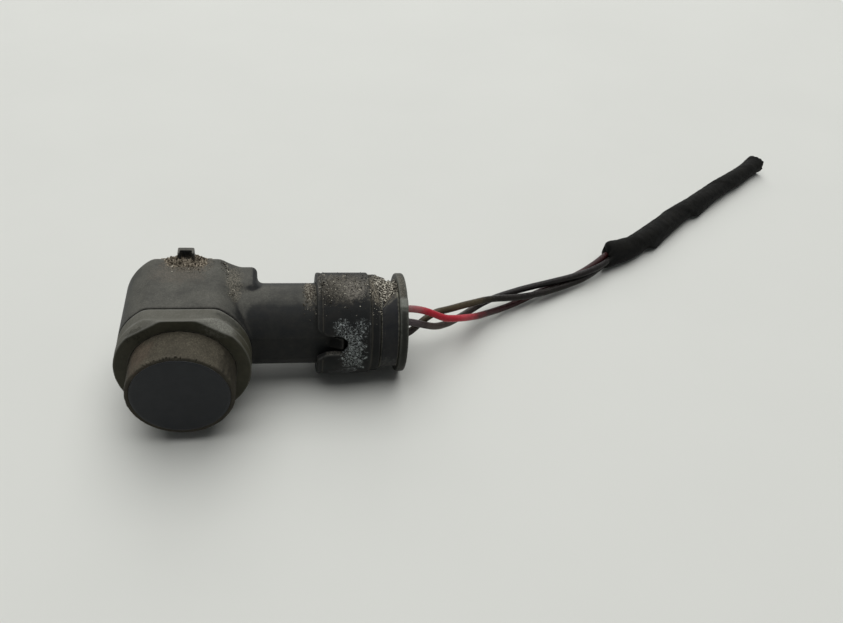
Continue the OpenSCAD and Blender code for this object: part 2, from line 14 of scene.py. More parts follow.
import bpy
import numpy as np
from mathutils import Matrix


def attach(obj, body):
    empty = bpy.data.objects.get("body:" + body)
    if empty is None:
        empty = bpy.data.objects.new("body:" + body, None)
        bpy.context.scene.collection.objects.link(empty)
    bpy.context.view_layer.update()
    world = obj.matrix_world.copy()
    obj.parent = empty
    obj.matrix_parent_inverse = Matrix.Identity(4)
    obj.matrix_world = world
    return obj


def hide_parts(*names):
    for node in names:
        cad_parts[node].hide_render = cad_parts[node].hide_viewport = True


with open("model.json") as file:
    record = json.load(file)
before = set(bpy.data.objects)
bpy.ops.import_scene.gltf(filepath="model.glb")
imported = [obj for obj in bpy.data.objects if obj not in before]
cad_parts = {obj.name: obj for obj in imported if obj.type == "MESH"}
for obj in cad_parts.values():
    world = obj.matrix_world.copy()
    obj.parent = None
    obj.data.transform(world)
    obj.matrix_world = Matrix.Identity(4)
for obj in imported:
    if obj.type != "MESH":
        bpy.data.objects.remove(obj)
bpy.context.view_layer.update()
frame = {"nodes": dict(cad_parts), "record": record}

import openvdb
from mathutils import Matrix, Vector

LOG = logging.getLogger("parking_sensor")
MM = 0.001
TURN = 2 * math.pi
# Angles of a rounded edge, and the radius at which a turned surface closes at its axis.
QUARTER = np.linspace(0, math.pi / 2, 5)
POLE = 0.05
Array = np.ndarray
Colour = tuple[float, float, float]
Pair = tuple[float, float]
Point = tuple[float, float, float]
Socket = bpy.types.NodeSocket
Tree = bpy.types.NodeTree
Material = bpy.types.Material
Feeds = dict[str | int, object]


class Slot(Enum):
    """Material slots of the record."""

    HOUSING = "housing_plastic"
    PLUG = "plug_plastic"
    FACE = "face_coat"
    SILICONE = "silicone"
    RED = "red_insulation"
    BROWN = "brown_insulation"
    GREY = "grey_insulation"
    TAPE = "cloth_tape"
    CONTACT = "contact_metal"
    RUBBER = "seal_rubber"


class Axis(Enum):
    """Axis that a profile is turned about."""

    HEAD = "along Y, the axis of the sensor head"
    NECK = "along X, the axis of the neck and the plug"


def srgb(red: float, green: float, blue: float) -> Colour:
    """Gives the linear colour of a display colour written from 0 to 255."""
    shown = np.array([red, green, blue]) / 255
    return tuple(np.where(shown <= 0.04045, shown / 12.92, ((shown + 0.055) / 1.055) ** 2.4).tolist())


def tinted(colour: Colour, factor: float) -> Colour:
    """Gives a colour times a factor."""
    return tuple(factor * v for v in colour)


@dataclass(frozen=True)
class Datum:
    """Places that the head, the plug and the pigtail share, in millimetres of the part's own frame."""

    head_r: float = 15.05
    neck_y: float = 15.7
    cap_end: float = 51.3
    cap_r: float = 12.1
    barrel_flat: float = 12.9
    neck_r: float = 9.7
    sleeve_r: float = 12.25
    catch_angle: float = 76.0
    row_pitch: float = 4.2
    seal_x: float = 44.6

    @property
    def lean(self) -> float:
        """Angle in radians by which the part leans until the head and the cap both lie on the floor."""
        reach = math.hypot(self.cap_end, self.cap_r)
        return math.atan2(self.cap_end, self.cap_r) - math.acos(self.head_r / reach)

    @property
    def floor_z(self) -> float:
        """Height of the floor, under the round head."""
        return -self.head_r

    def laid(self, points: Array | Sequence[float]) -> Array:
        """Turns own points, in the last dimension of an array, about Y by the lean."""
        c, s = math.cos(self.lean), math.sin(self.lean)
        return np.asarray(points, float) @ np.array([[c, 0, s], [0, 1, 0], [-s, 0, c]]).T

    def spot(self, x: float, y: float, z: float) -> Point:
        """Gives one own point as it lies on the floor."""
        return tuple(self.laid([x, y, z]))

    def on_neck(self, x: float, angle: float, radius: float) -> Point:
        """Gives a laid point round the neck's axis, by an angle in degrees from the top towards the face."""
        a = math.radians(angle)
        return self.spot(x, self.neck_y - radius * math.sin(a), radius * math.cos(a))

    def beside(self, x: Array, a: Array, radius: Array) -> Array:
        """Gives own points round the neck's axis, by angles in radians from the top towards the face."""
        return np.stack([x, self.neck_y - radius * np.sin(a), radius * np.cos(a)], -1)

    def turned_about(self, y: Array, z: Array, angle: float) -> tuple[Array, Array]:
        """Gives the distance across and out from the neck's axis, for an angle in degrees as on the neck."""
        c, s = math.cos(math.radians(angle)), math.sin(math.radians(angle))
        return (y - self.neck_y) * c + z * s, z * c - (y - self.neck_y) * s


DATUM = Datum()


def smooth_max(a: Array, b: Array, width: float) -> Array:
    """Takes the larger of two distances, with the edge where they meet rounded over a width."""
    h = np.maximum(width - np.abs(a - b), 0) / width
    return np.maximum(a, b) + h * h * width / 4


def smooth_min(a: Array, b: Array, width: float) -> Array:
    """Takes the smaller of two distances, with the crease where they meet filled over a width."""
    return -smooth_max(-a, -b, width)


def between(v: Array, low: float, high: float) -> Array:
    """Gives the distance to the slab between two planes across an axis, negative inside."""
    return np.maximum(low - v, v - high)


def ease(t: Array | float, low: float = 0.0, high: float = 1.0) -> Array:
    """Rises smoothly from 0 at low to 1 at high."""
    s = np.clip((np.asarray(t, float) - low) / (high - low), 0, 1)
    return s * s * (3 - 2 * s)


def around(count: int) -> Array:
    """Gives angles in radians all round an axis, from the top."""
    return np.arange(count) * TURN / count


def off_angle(a: Array, middle: Array | float, full: float = 360.0) -> Array:
    """Gives how far angles lie from a middle one, by the shorter way round a full turn."""
    return np.mod(a - middle + full / 2, full) - full / 2


def ripple(points: Array, wave: float, seed: int, count: int = 22) -> Array:
    """Smooth noise: the sum of cosines with random directions and wave lengths near the given one.

    Args:
        points: places in millimetres, in the last dimension.
        wave: mean wave length in millimetres.
        seed: seed of the random directions.
        count: number of cosines.

    Returns:
        Values with a spread of about 0.5 around 0.
    """
    rng = np.random.default_rng(seed)
    ways = rng.normal(size=(3, count))
    ways *= TURN / (wave * rng.uniform(0.6, 1.5, count)) / np.linalg.norm(ways, axis=0)
    return np.cos(points @ ways + rng.uniform(0, TURN, count)).sum(-1) / math.sqrt(2 * count)


def smooth_line(knots: Array, step: float) -> Array:
    """Runs the natural cubic spline through knots, with the chord length as its parameter.

    Args:
        knots: points that the line passes.
        step: distance between the points given back.

    Returns:
        Points along the line.
    """
    s = run_of(knots)
    h, last = np.diff(s), len(s) - 1
    i = np.arange(1, last)
    matrix, right = np.eye(last + 1), np.zeros_like(knots)
    matrix[i, i - 1], matrix[i, i], matrix[i, i + 1] = h[:-1], 2 * (h[:-1] + h[1:]), h[1:]
    slope = np.diff(knots, axis=0) / h[:, None]
    right[i] = 6 * np.diff(slope, axis=0)
    bend = np.linalg.solve(matrix, right)
    t = np.linspace(0, s[-1], int(s[-1] / step) + 1)
    k = np.clip(np.searchsorted(s, t, "right") - 1, 0, last - 1)
    u, v, w = (t - s[k])[:, None], (s[k + 1] - t)[:, None], h[k][:, None]
    cubic = (bend[k] * v**3 + bend[k + 1] * u**3) / (6 * w)
    return cubic + (knots[k] / w - bend[k] * w / 6) * v + (knots[k + 1] / w - bend[k + 1] * w / 6) * u


def run_of(line: Array) -> Array:
    """Gives the length of a line up to each of its points."""
    return np.concatenate([[0], np.cumsum(np.linalg.norm(np.diff(line, axis=0), axis=1))])


def line_frame(line: Array) -> tuple[Array, Array, Array]:
    """Works out the directions at each point of a line.

    Args:
        line: points along the line.

    Returns:
        The unit directions along the line, level to its right, and square to both.
    """
    along = np.gradient(line, axis=0)
    along /= np.linalg.norm(along, axis=1, keepdims=True)
    right = np.cross(along, [0, 0, 1.0])
    right /= np.linalg.norm(right, axis=1, keepdims=True)
    return along, right, np.cross(right, along)


def ring_ways(right: Array, up: Array, count: int) -> Array:
    """Gives the directions round a line: up times the cosine plus right times the sine of each angle."""
    a = around(count)
    return np.cos(a)[None, :, None] * up[:, None] + np.sin(a)[None, :, None] * right[:, None]


@dataclass
class Skin:
    """A closed surface: its points in millimetres, its faces, and the map of its face corners, if any."""

    points: Array
    quads: Array
    tris: Array = field(default_factory=lambda: np.zeros((0, 3), int))
    corner_map: Array | None = None

    def triangles(self) -> Array:
        """Gives all faces cut into triangles."""
        return np.concatenate([self.quads[:, [0, 1, 2]], self.quads[:, [0, 2, 3]], self.tris])

    def laid(self) -> "Skin":
        """Gives the surface as it lies on the floor."""
        return replace(self, points=DATUM.laid(self.points))

    def outward(self) -> "Skin":
        """Turns the faces over if the volume that they enclose comes out negative.

        Returns:
            The surface with its faces outwards.
        """
        a, b, c = np.moveaxis(self.points[self.triangles()], 1, 0)
        if np.einsum("ij,ij->", a, np.cross(b, c)) >= 0:
            return self
        turned_map = self.corner_map
        if turned_map is not None:
            split = 4 * len(self.quads)
            turned_map = np.concatenate([turned_map[:split].reshape(-1, 4, 2)[:, ::-1].reshape(-1, 2),
                                         turned_map[split:].reshape(-1, 3, 2)[:, ::-1].reshape(-1, 2)])
        return Skin(self.points, self.quads[:, ::-1], self.tris[:, ::-1], turned_map)

    def bend(self, rounds: int = 2, keep: float = 0.4, limit: float = 4.0) -> Array:
        """Works out how sharply the surface turns at each point.

        The value is the mean over the neighbours of twice the height of the point over the neighbour, along
        the normal, divided by their squared distance. It is positive on edges and negative in creases.

        Args:
            rounds: how often the values are averaged with their neighbours.
            keep: share of its own value that a point keeps then.
            limit: largest value either way, per millimetre.

        Returns:
            One value for each point, per millimetre.
        """
        p, t = self.points, self.triangles()
        square = np.cross(p[t[:, 1]] - p[t[:, 0]], p[t[:, 2]] - p[t[:, 0]])
        normal = np.stack([sum(np.bincount(t[:, k], square[:, axis], len(p)) for k in range(3))
                           for axis in range(3)], 1)
        normal /= np.maximum(np.linalg.norm(normal, axis=1, keepdims=True), 1e-12)
        sides = [self.quads[:, [k, (k + 1) % 4]] for k in range(4)]
        pairs = np.concatenate([*sides, self.tris[:, :2], self.tris[:, 1:]])
        a, b = np.concatenate([pairs, pairs[:, ::-1]]).T
        gap = p[a] - p[b]
        count = np.maximum(np.bincount(a, minlength=len(p)), 1)
        height = np.einsum("ij,ij->i", normal[a], gap)
        value = 2 * height / np.maximum(np.einsum("ij,ij->i", gap, gap), 1e-6)
        value = np.clip(np.bincount(a, value, len(p)) / count, -limit, limit)
        for _ in range(rounds):
            value = keep * value + (1 - keep) * np.bincount(a, value[b], len(p)) / count
        return value


def grid_skin(points: Array, wrap_rows: bool = False, caps: bool = False,
              row_map: Array | None = None, col_map: Array | None = None) -> Skin:
    """Joins a grid of points into faces, each row being a closed loop.

    Args:
        points: rows by columns of points.
        wrap_rows: joins the last row to the first.
        caps: closes the first and last rows with a fan to their middle.
        row_map: map coordinate of each row, with one more for a wrapped last row.
        col_map: map coordinate of each column, with one more for the seam.

    Returns:
        The closed surface.
    """
    rows, cols, _ = points.shape
    r, c = np.meshgrid(np.arange(rows if wrap_rows else rows - 1), np.arange(cols), indexing="ij")
    r2, c2 = (r + 1) % rows, (c + 1) % cols
    quads = np.stack([r * cols + c, r * cols + c2, r2 * cols + c2, r2 * cols + c], -1).reshape(-1, 4)
    flat, tris, corner_map = points.reshape(-1, 3), np.zeros((0, 3), int), None
    if row_map is not None and col_map is not None:
        corner_map = np.stack([row_map[np.stack([r, r, r + 1, r + 1], -1)],
                               col_map[np.stack([c, c + 1, c + 1, c], -1)]], -1).reshape(-1, 2)
    if caps:
        a, size = np.arange(cols), rows * cols
        b, end = (a + 1) % cols, (rows - 1) * cols
        tris = np.concatenate([np.stack([np.full(cols, size), b, a], 1),
                               np.stack([np.full(cols, size + 1), end + a, end + b], 1)])
        flat = np.concatenate([flat, points[[0, -1]].mean(axis=1)])
    return Skin(flat, quads, tris, corner_map)


def join_skins(skins: Sequence[Skin]) -> Skin:
    """Puts several closed surfaces into one mesh.

    Args:
        skins: the surfaces.

    Returns:
        One surface with all their points and faces.
    """
    starts = np.concatenate([[0], np.cumsum([len(s.points) for s in skins])])
    return Skin(np.concatenate([s.points for s in skins]),
                np.concatenate([s.quads + k for s, k in zip(skins, starts)]),
                np.concatenate([s.tris + k for s, k in zip(skins, starts)]))


def field_skin(shape: Callable[[Array, Array, Array], Array], low: Point, high: Point, step: float) -> Skin:
    """Follows the surface where a distance is nought, for forms with blends and notches.

    Args:
        shape: gives the signed distance to the surface at X, Y and Z, negative inside.
        low: lowest corner of the space that holds the form.
        high: highest corner.
        step: width of a cell.

    Returns:
        The closed surface, with faces about one step wide.
    """
    axes = [np.arange(a, b + step, step, dtype=np.float32) for a, b in zip(low, high)]
    values = np.ascontiguousarray(shape(*np.meshgrid(*axes, indexing="ij", sparse=True)), np.float32)
    grid = openvdb.FloatGrid(float(values.max()))
    grid.copyFromArray(values)
    points, tris, quads = grid.convertToPolygons(isovalue=0.0, adaptivity=0.0)
    return Skin(np.asarray(low) + points.astype(float) * step, quads.astype(int),
                tris.astype(int).reshape(-1, 3))


def dense(path: Sequence[Sequence[float]], step: float) -> Array:
    """Adds points to a path of straight runs.

    Args:
        path: the path's corners.
        step: longest distance between points.

    Returns:
        Points along the path, with its corners among them.
    """
    path = np.asarray(path, float)
    runs = np.maximum(np.ceil(np.linalg.norm(np.diff(path, axis=0), axis=1) / step).astype(int), 1)
    k = np.repeat(np.arange(len(runs)), runs)
    t = (np.arange(len(k)) - np.repeat(np.cumsum(runs) - runs, runs)) / runs[k]
    return np.concatenate([path[k] + t[:, None] * (path[k + 1] - path[k]), path[-1:]])


def arc(centre: Sequence[float], radius: float, start: float, end: float,
        count: int = 6) -> list[list[float]]:
    """Gives points on an arc of a profile, from a start to an end angle in degrees."""
    a = np.radians(np.linspace(start, end, count))
    return np.stack([centre[0] + radius * np.cos(a), centre[1] + radius * np.sin(a)], 1).tolist()


def turned(profile: Array, axis: Axis, columns: int) -> Array:
    """Turns a profile of radius and place about an axis.

    The point at angle a from the top is at radius times sine a to the side and radius times cosine a up.

    Args:
        profile: rows of radius and place along the axis, or rows by columns of them where the radius varies.
        axis: the axis.
        columns: number of columns round the axis.

    Returns:
        Rows by columns of own points.
    """
    a = around(columns)
    if profile.ndim == 2:
        profile = np.repeat(profile[:, None], columns, axis=1)
    side, up, place = profile[..., 0] * np.sin(a), profile[..., 0] * np.cos(a), profile[..., 1]
    if axis is Axis.HEAD:
        return np.stack([side, place, up], -1)
    return np.stack([place, DATUM.neck_y - side, up], -1)


def tube_skin(line: Array, radii: Array, sides: int) -> Skin:
    """Carries a circle along a line: a ring is the line's point plus the radius round the line's direction.

    Args:
        line: points along the middle of the tube.
        radii: the radius at each of them.
        sides: number of points in a ring.

    Returns:
        The tube, closed at both ends.
    """
    _, right, up = line_frame(line)
    return grid_skin(line[:, None] + radii[:, None, None] * ring_ways(right, up, sides), caps=True)


def make_piece(name: str, skin: Skin, finish: Material, slot: Slot, stands_for: Sequence[str] = (),
               sharp: float = 42.0) -> bpy.types.Object:
    """Puts a surface into a mesh object that rides on the part.

    Args:
        name: name of the piece.
        skin: surface, laid, in millimetres.
        finish: its material.
        slot: the record's slot that the finish belongs to; not used.
        stands_for: CAD nodes that the piece replaces.
        sharp: angle in degrees over which an edge is shaded sharp.

    Returns:
        The object.
    """
    skin = skin.outward()
    corners = np.concatenate([skin.quads.ravel(), skin.tris.ravel()])
    sizes = np.repeat([4, 3], [len(skin.quads), len(skin.tris)])
    mesh = bpy.data.meshes.new(name)
    mesh.vertices.add(len(skin.points))
    mesh.vertices.foreach_set("co", (skin.points * MM).astype(np.float32).ravel())
    mesh.loops.add(len(corners))
    mesh.loops.foreach_set("vertex_index", corners.astype(np.int32))
    mesh.polygons.add(len(sizes))
    mesh.polygons.foreach_set("loop_start", (np.cumsum(sizes) - sizes).astype(np.int32))
    if skin.corner_map is not None:
        spare = np.zeros((len(corners) - len(skin.corner_map), 2))
        wrap = np.concatenate([skin.corner_map, spare]).astype(np.float32)
        mesh.uv_layers.new(name="wrap").data.foreach_set("uv", wrap.ravel())
    edge = mesh.attributes.new("edge", "FLOAT", "POINT")
    edge.data.foreach_set("value", skin.bend().astype(np.float32))
    mesh.update(calc_edges=True)
    mesh.polygons.foreach_set("use_smooth", np.ones(len(sizes), bool))
    mesh.set_sharp_from_angle(angle=math.radians(sharp))
    mesh.materials.append(finish)
    piece = bpy.data.objects.new(name, mesh)
    bpy.context.scene.collection.objects.link(piece)
    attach(piece, "root")
    if stands_for:
        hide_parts(*stands_for)
    LOG.info("%s: %d faces, finish %s", name, len(sizes), finish.name)
    return piece


class Graph:
    """Adds nodes to a shader tree. An input given as a socket is linked, and one given as a value is set."""

    def __init__(self, tree: Tree) -> None:
        """Keeps the tree that the nodes go into."""
        self.tree = tree

    def feed(self, inputs: bpy.types.NodeInputs, feeds: Feeds) -> None:
        """Links sockets to others or sets their values.

        Args:
            inputs: the sockets.
            feeds: their names or numbers with what feeds them.
        """
        for key, value in feeds.items():
            socket = inputs[key]
            if isinstance(value, Socket):
                self.tree.links.new(value, socket)
            elif socket.type == "RGBA" and len(value) == 3:
                socket.default_value = (*value, 1.0)
            else:
                socket.default_value = value

    def add(self, kind: str, feeds: Feeds | None = None, **traits: object) -> bpy.types.Node:
        """Adds a node.

        Args:
            kind: Blender's name of the node type.
            feeds: socket names or numbers with what feeds them.
            traits: the node's own settings.

        Returns:
            The node.
        """
        node = self.tree.nodes.new(kind)
        for trait, value in traits.items():
            setattr(node, trait, value)
        self.feed(node.inputs, feeds or {})
        return node

    def calc(self, operation: str, *values: object) -> Socket:
        """Adds a Math node."""
        return self.add("ShaderNodeMath", dict(enumerate(values)), operation=operation).outputs[0]

    def times(self, first: object, second: object) -> Socket:
        """Multiplies two numbers."""
        return self.calc("MULTIPLY", first, second)

    def step(self, value: Socket, low: float | Socket, high: float | Socket) -> Socket:
        """Rises smoothly from 0 where the value is low to 1 where it is high."""
        feeds = {0: value, 1: low, 2: high}
        return self.add("ShaderNodeMapRange", feeds, interpolation_type="SMOOTHSTEP").outputs[0]

    def blend(self, share: object, first: object, second: object) -> Socket:
        """Mixes two colours."""
        return self.add("ShaderNodeMix", {0: share, 6: first, 7: second}, data_type="RGBA").outputs[2]

    def cover(self, colour: object, mask: Socket, share: float, over: Colour) -> Socket:
        """Lays another colour over a colour where a mask is, up to a share."""
        return self.blend(self.times(mask, share), colour, over)

    def slide(self, share: object, first: object, second: object) -> Socket:
        """Mixes two numbers."""
        return self.add("ShaderNodeMix", {0: share, 2: first, 3: second}).outputs[0]

    def noise(self, place: Socket, scale: object, detail: float = 4.0, rough: float = 0.55,
              warp: float = 0.0) -> Socket:
        """Adds a noise texture and gives its value."""
        feeds = {"Vector": place, "Scale": scale, "Detail": detail, "Roughness": rough, "Distortion": warp}
        return self.add("ShaderNodeTexNoise", feeds).outputs[0]

    def part(self, vector: Socket, axis: int) -> Socket:
        """Gives one part of a vector, 0 being X, 1 Y and 2 Z."""
        return self.add("ShaderNodeSeparateXYZ", {0: vector}).outputs[axis]


class Surface(Graph):
    """The shader graph of one new material, with its place in millimetres at hand."""

    def __init__(self, name: str) -> None:
        """Starts the material and reads its Object coordinates.

        Args:
            name: name of the material.
        """
        self.material = bpy.data.materials.new(name)
        self.material.use_nodes = True
        super().__init__(self.material.node_tree)
        feeds = {0: self.add("ShaderNodeTexCoord").outputs["Object"], "Scale": 1 / MM}
        self.place = self.add("ShaderNodeVectorMath", feeds, operation="SCALE").outputs[0]

    def upward(self) -> Socket:
        """Gives how far the surface faces up, from -1 to 1."""
        return self.part(self.add("ShaderNodeNewGeometry").outputs["Normal"], 2)

    def edge(self) -> Socket:
        """Gives how sharply the piece's surface turns, from its own attribute."""
        return self.add("ShaderNodeAttribute", attribute_name="edge").outputs["Fac"]

    def bump(self, height: Socket, strength: float, depth: float) -> Socket:
        """Gives the normal that a height makes, with its depth in millimetres."""
        feeds = {"Strength": strength, "Distance": depth * MM, "Height": height}
        return self.add("ShaderNodeBump", feeds).outputs[0]

    def effect(self, tree: Tree, feeds: Feeds) -> bpy.types.NodeOutputs:
        """Places a shared node group at the surface's place and gives its outputs."""
        return self.add("ShaderNodeGroup", {"Place": self.place, **feeds}, node_tree=tree).outputs

    def dress(self, feeds: Feeds) -> Material:
        """Feeds the shader's own sockets and gives the material."""
        self.feed(self.tree.nodes["Principled BSDF"].inputs, feeds)
        return self.material


def new_effect(name: str, vectors: Sequence[str], numbers: Sequence[str], gives: Sequence[str]) \
        -> tuple[Graph, bpy.types.NodeOutputs, bpy.types.NodeInputs]:
    """Starts a shared node group.

    Args:
        name: name of the group.
        vectors: its inputs that are vectors.
        numbers: its inputs that are numbers.
        gives: its outputs, which are all numbers.

    Returns:
        The group's graph, the sockets of its inputs and those of its outputs.
    """
    tree = bpy.data.node_groups.new(name, "ShaderNodeTree")
    for labels, way, kind in ((vectors, "INPUT", "Vector"), (numbers, "INPUT", "Float"),
                              (gives, "OUTPUT", "Float")):
        for label in labels:
            tree.interface.new_socket(name=label, in_out=way, socket_type=f"NodeSocket{kind}")
    graph = Graph(tree)
    return graph, graph.add("NodeGroupInput").outputs, graph.add("NodeGroupOutput").inputs


class Effects:
    """Shader node groups that several finishes share, each built once."""

    def __init__(self) -> None:
        """Builds the groups."""
        self.dust = self._dust()
        self.patch = self._patch()
        self.scuff = self._scuff()
        self.grain = self._grain()
        self.wear_and_highlight = self._wear_and_highlight()

    def _dust(self) -> Tree:
        """Dust that settles where the surface faces up.

        The heap is the slope times the level plus coarse noise, broken by fine noise and by specks.

        Returns:
            The group.
        """
        g, take, give = new_effect("settled_dust", ["Place"], ["Up", "Low", "High", "Level", "Contrast"],
                                   ["Mask", "Pale", "Dark"])
        place = take["Place"]
        lie = g.step(take["Up"], take["Low"], take["High"])
        cloud = g.noise(place, 0.22, 5.0, 0.62)
        fine = g.step(g.noise(place, 1.7, 4.0, 0.6), 0.35, 0.62)
        speck = g.noise(place, 3.2, 2.0, 0.5)
        heap = g.calc("ADD", g.times(lie, take["Level"]), g.calc("MULTIPLY_ADD", cloud, 1.1, -0.62))
        broken = g.times(g.step(heap, 0.15, 0.8), take["Contrast"])
        g.feed(give, {"Mask": g.times(g.step(heap, 0.0, 0.95), g.slide(take["Contrast"], 1.0, fine)),
                      "Pale": g.times(g.step(speck, 0.54, 0.66), broken),
                      "Dark": g.times(g.step(speck, 0.44, 0.34), broken)})
        return g.tree

    def _patch(self) -> Tree:
        """A patch with a ragged border: the distance from its centre in shares of its reach, plus noise.

        Returns:
            The group.
        """
        g, take, give = new_effect("ragged_patch", ["Place", "Centre", "Reach"], ["Ragged"], ["Mask"])
        far = take["Place"]
        for operation, other in (("SUBTRACT", take["Centre"]), ("DIVIDE", take["Reach"])):
            far = g.add("ShaderNodeVectorMath", {0: far, 1: other}, operation=operation).outputs[0]
        far = g.add("ShaderNodeVectorMath", {0: far}, operation="LENGTH").outputs["Value"]
        border = g.calc("SUBTRACT", g.noise(take["Place"], 0.9, 5.0, 0.65), 0.5)
        g.feed(give, {"Mask": g.step(g.calc("ADD", far, g.times(border, take["Ragged"])), 1.1, 0.45)})
        return g.tree

    def _scuff(self) -> Tree:
        """Scratches and chips.

        A scratch is a crisp line where stretched noise crosses its middle value, wider where they are dense.

        Returns:
            The group.
        """
        g, take, give = new_effect("scratches", ["Place"], ["Density"], ["Mask"])
        total = g.step(g.noise(take["Place"], 2.2, 2.0, 0.5), 0.6, 0.66)
        width = g.calc("MULTIPLY_ADD", take["Density"], 0.026, 0.001)
        for turn, stretch, scale in ((0.5, (1.0, 1.9, 1.9), 0.62), (-0.9, (1.8, 1.0, 1.2), 0.8),
                                     (1.9, (1.3, 1.0, 2.2), 0.9)):
            lie = {"Vector": take["Place"], "Rotation": (turn, turn * 0.7, turn * 1.3), "Scale": stretch}
            value = g.noise(g.add("ShaderNodeMapping", lie).outputs[0], scale, 1.0, 0.5, 0.5)
            off = g.calc("ABSOLUTE", g.calc("SUBTRACT", value, 0.5))
            total = g.calc("MAXIMUM", total, g.step(off, width, 0.0))
        g.feed(give, {"Mask": g.times(total, g.step(take["Density"], 0.05, 0.6))})
        return g.tree

    def _grain(self) -> Tree:
        """Height of moulded grain: fine noise over a shallow waviness.

        Returns:
            The group.
        """
        g, take, give = new_effect("moulded_grain", ["Place"], ["Scale"], ["Height"])
        fine = g.noise(take["Place"], take["Scale"], 3.0, 0.6)
        wave = g.noise(take["Place"], 0.5, 3.0, 0.5)
        g.feed(give, {"Height": g.calc("MULTIPLY_ADD", wave, 1.4, fine)})
        return g.tree

    def _wear_and_highlight(self) -> Tree:
        """Lighter edges and filled creases: the piece's own bend, broken up by noise. The edges stand for
        abrasion and for painted highlight.

        Returns:
            The group.
        """
        g, take, give = new_effect("edge_wear_and_highlight", ["Place"], ["Edge"], ["Edge", "Crease"])
        rough = g.calc("MULTIPLY_ADD", g.noise(take["Place"], 1.3, 4.0, 0.62), 1.5, -0.15)
        bend = g.times(take["Edge"], rough)
        g.feed(give, {"Edge": g.step(bend, 0.12, 0.75), "Crease": g.step(bend, -0.06, -0.5)})
        return g.tree


@dataclass(frozen=True)
class Mark:
    """A local mark with a ragged border: its centre and reach in millimetres, its colour and strength."""

    centre: Point
    reach: Point
    colour: Colour
    strength: float = 0.8
    ragged: float = 1.6

    def area(self, g: Surface, effects: Effects) -> Socket:
        """Gives the mask of the mark."""
        feeds = {"Centre": self.centre, "Reach": self.reach, "Ragged": self.ragged}
        return g.effect(effects.patch, feeds)["Mask"]


@dataclass(frozen=True)
class Patch(Mark):
    """A patch of colour with holes and specks, used for stains and also for painted highlight and painted
    shade.
    """

    speckle: float = 1.0

    def over(self, g: Surface, effects: Effects, colour: Socket) -> tuple[Socket, Socket]:
        """Lays the patch over a colour.

        Args:
            g: the material's graph.
            effects: the shared node groups.
            colour: the colour under it.

        Returns:
            The new colour, and the share of it that is covered.
        """
        area = self.area(g, effects)
        holes = g.step(g.noise(g.place, 2.6, 3.0, 0.6), 0.3, 0.7)
        share = g.times(g.times(area, g.slide(holes, 1 - 0.55 * self.speckle, 1.0)), self.strength)
        specks = g.step(g.noise(g.place, 3.4, 2.0, 0.5), 0.4, 0.63)
        patch_mark = g.blend(specks, tinted(self.colour, 1 - 0.6 * self.speckle),
                        tinted(self.colour, 1 + self.speckle))
        return g.blend(share, colour, patch_mark), share


@dataclass(frozen=True)
class Scuff(Mark):
    """A field of scratches."""

    strength: float = 1.0
    ragged: float = 2.2

    def over(self, g: Surface, effects: Effects, colour: Socket) -> tuple[Socket, Socket]:
        """Lays the scratches over a colour.

        Args:
            g: the material's graph.
            effects: the shared node groups.
            colour: the colour under it.

        Returns:
            The new colour, and the share of it that is covered.
        """
        density = g.times(self.area(g, effects), self.strength)
        share = g.effect(effects.scuff, {"Density": density})["Mask"]
        return g.blend(share, colour, self.colour), share


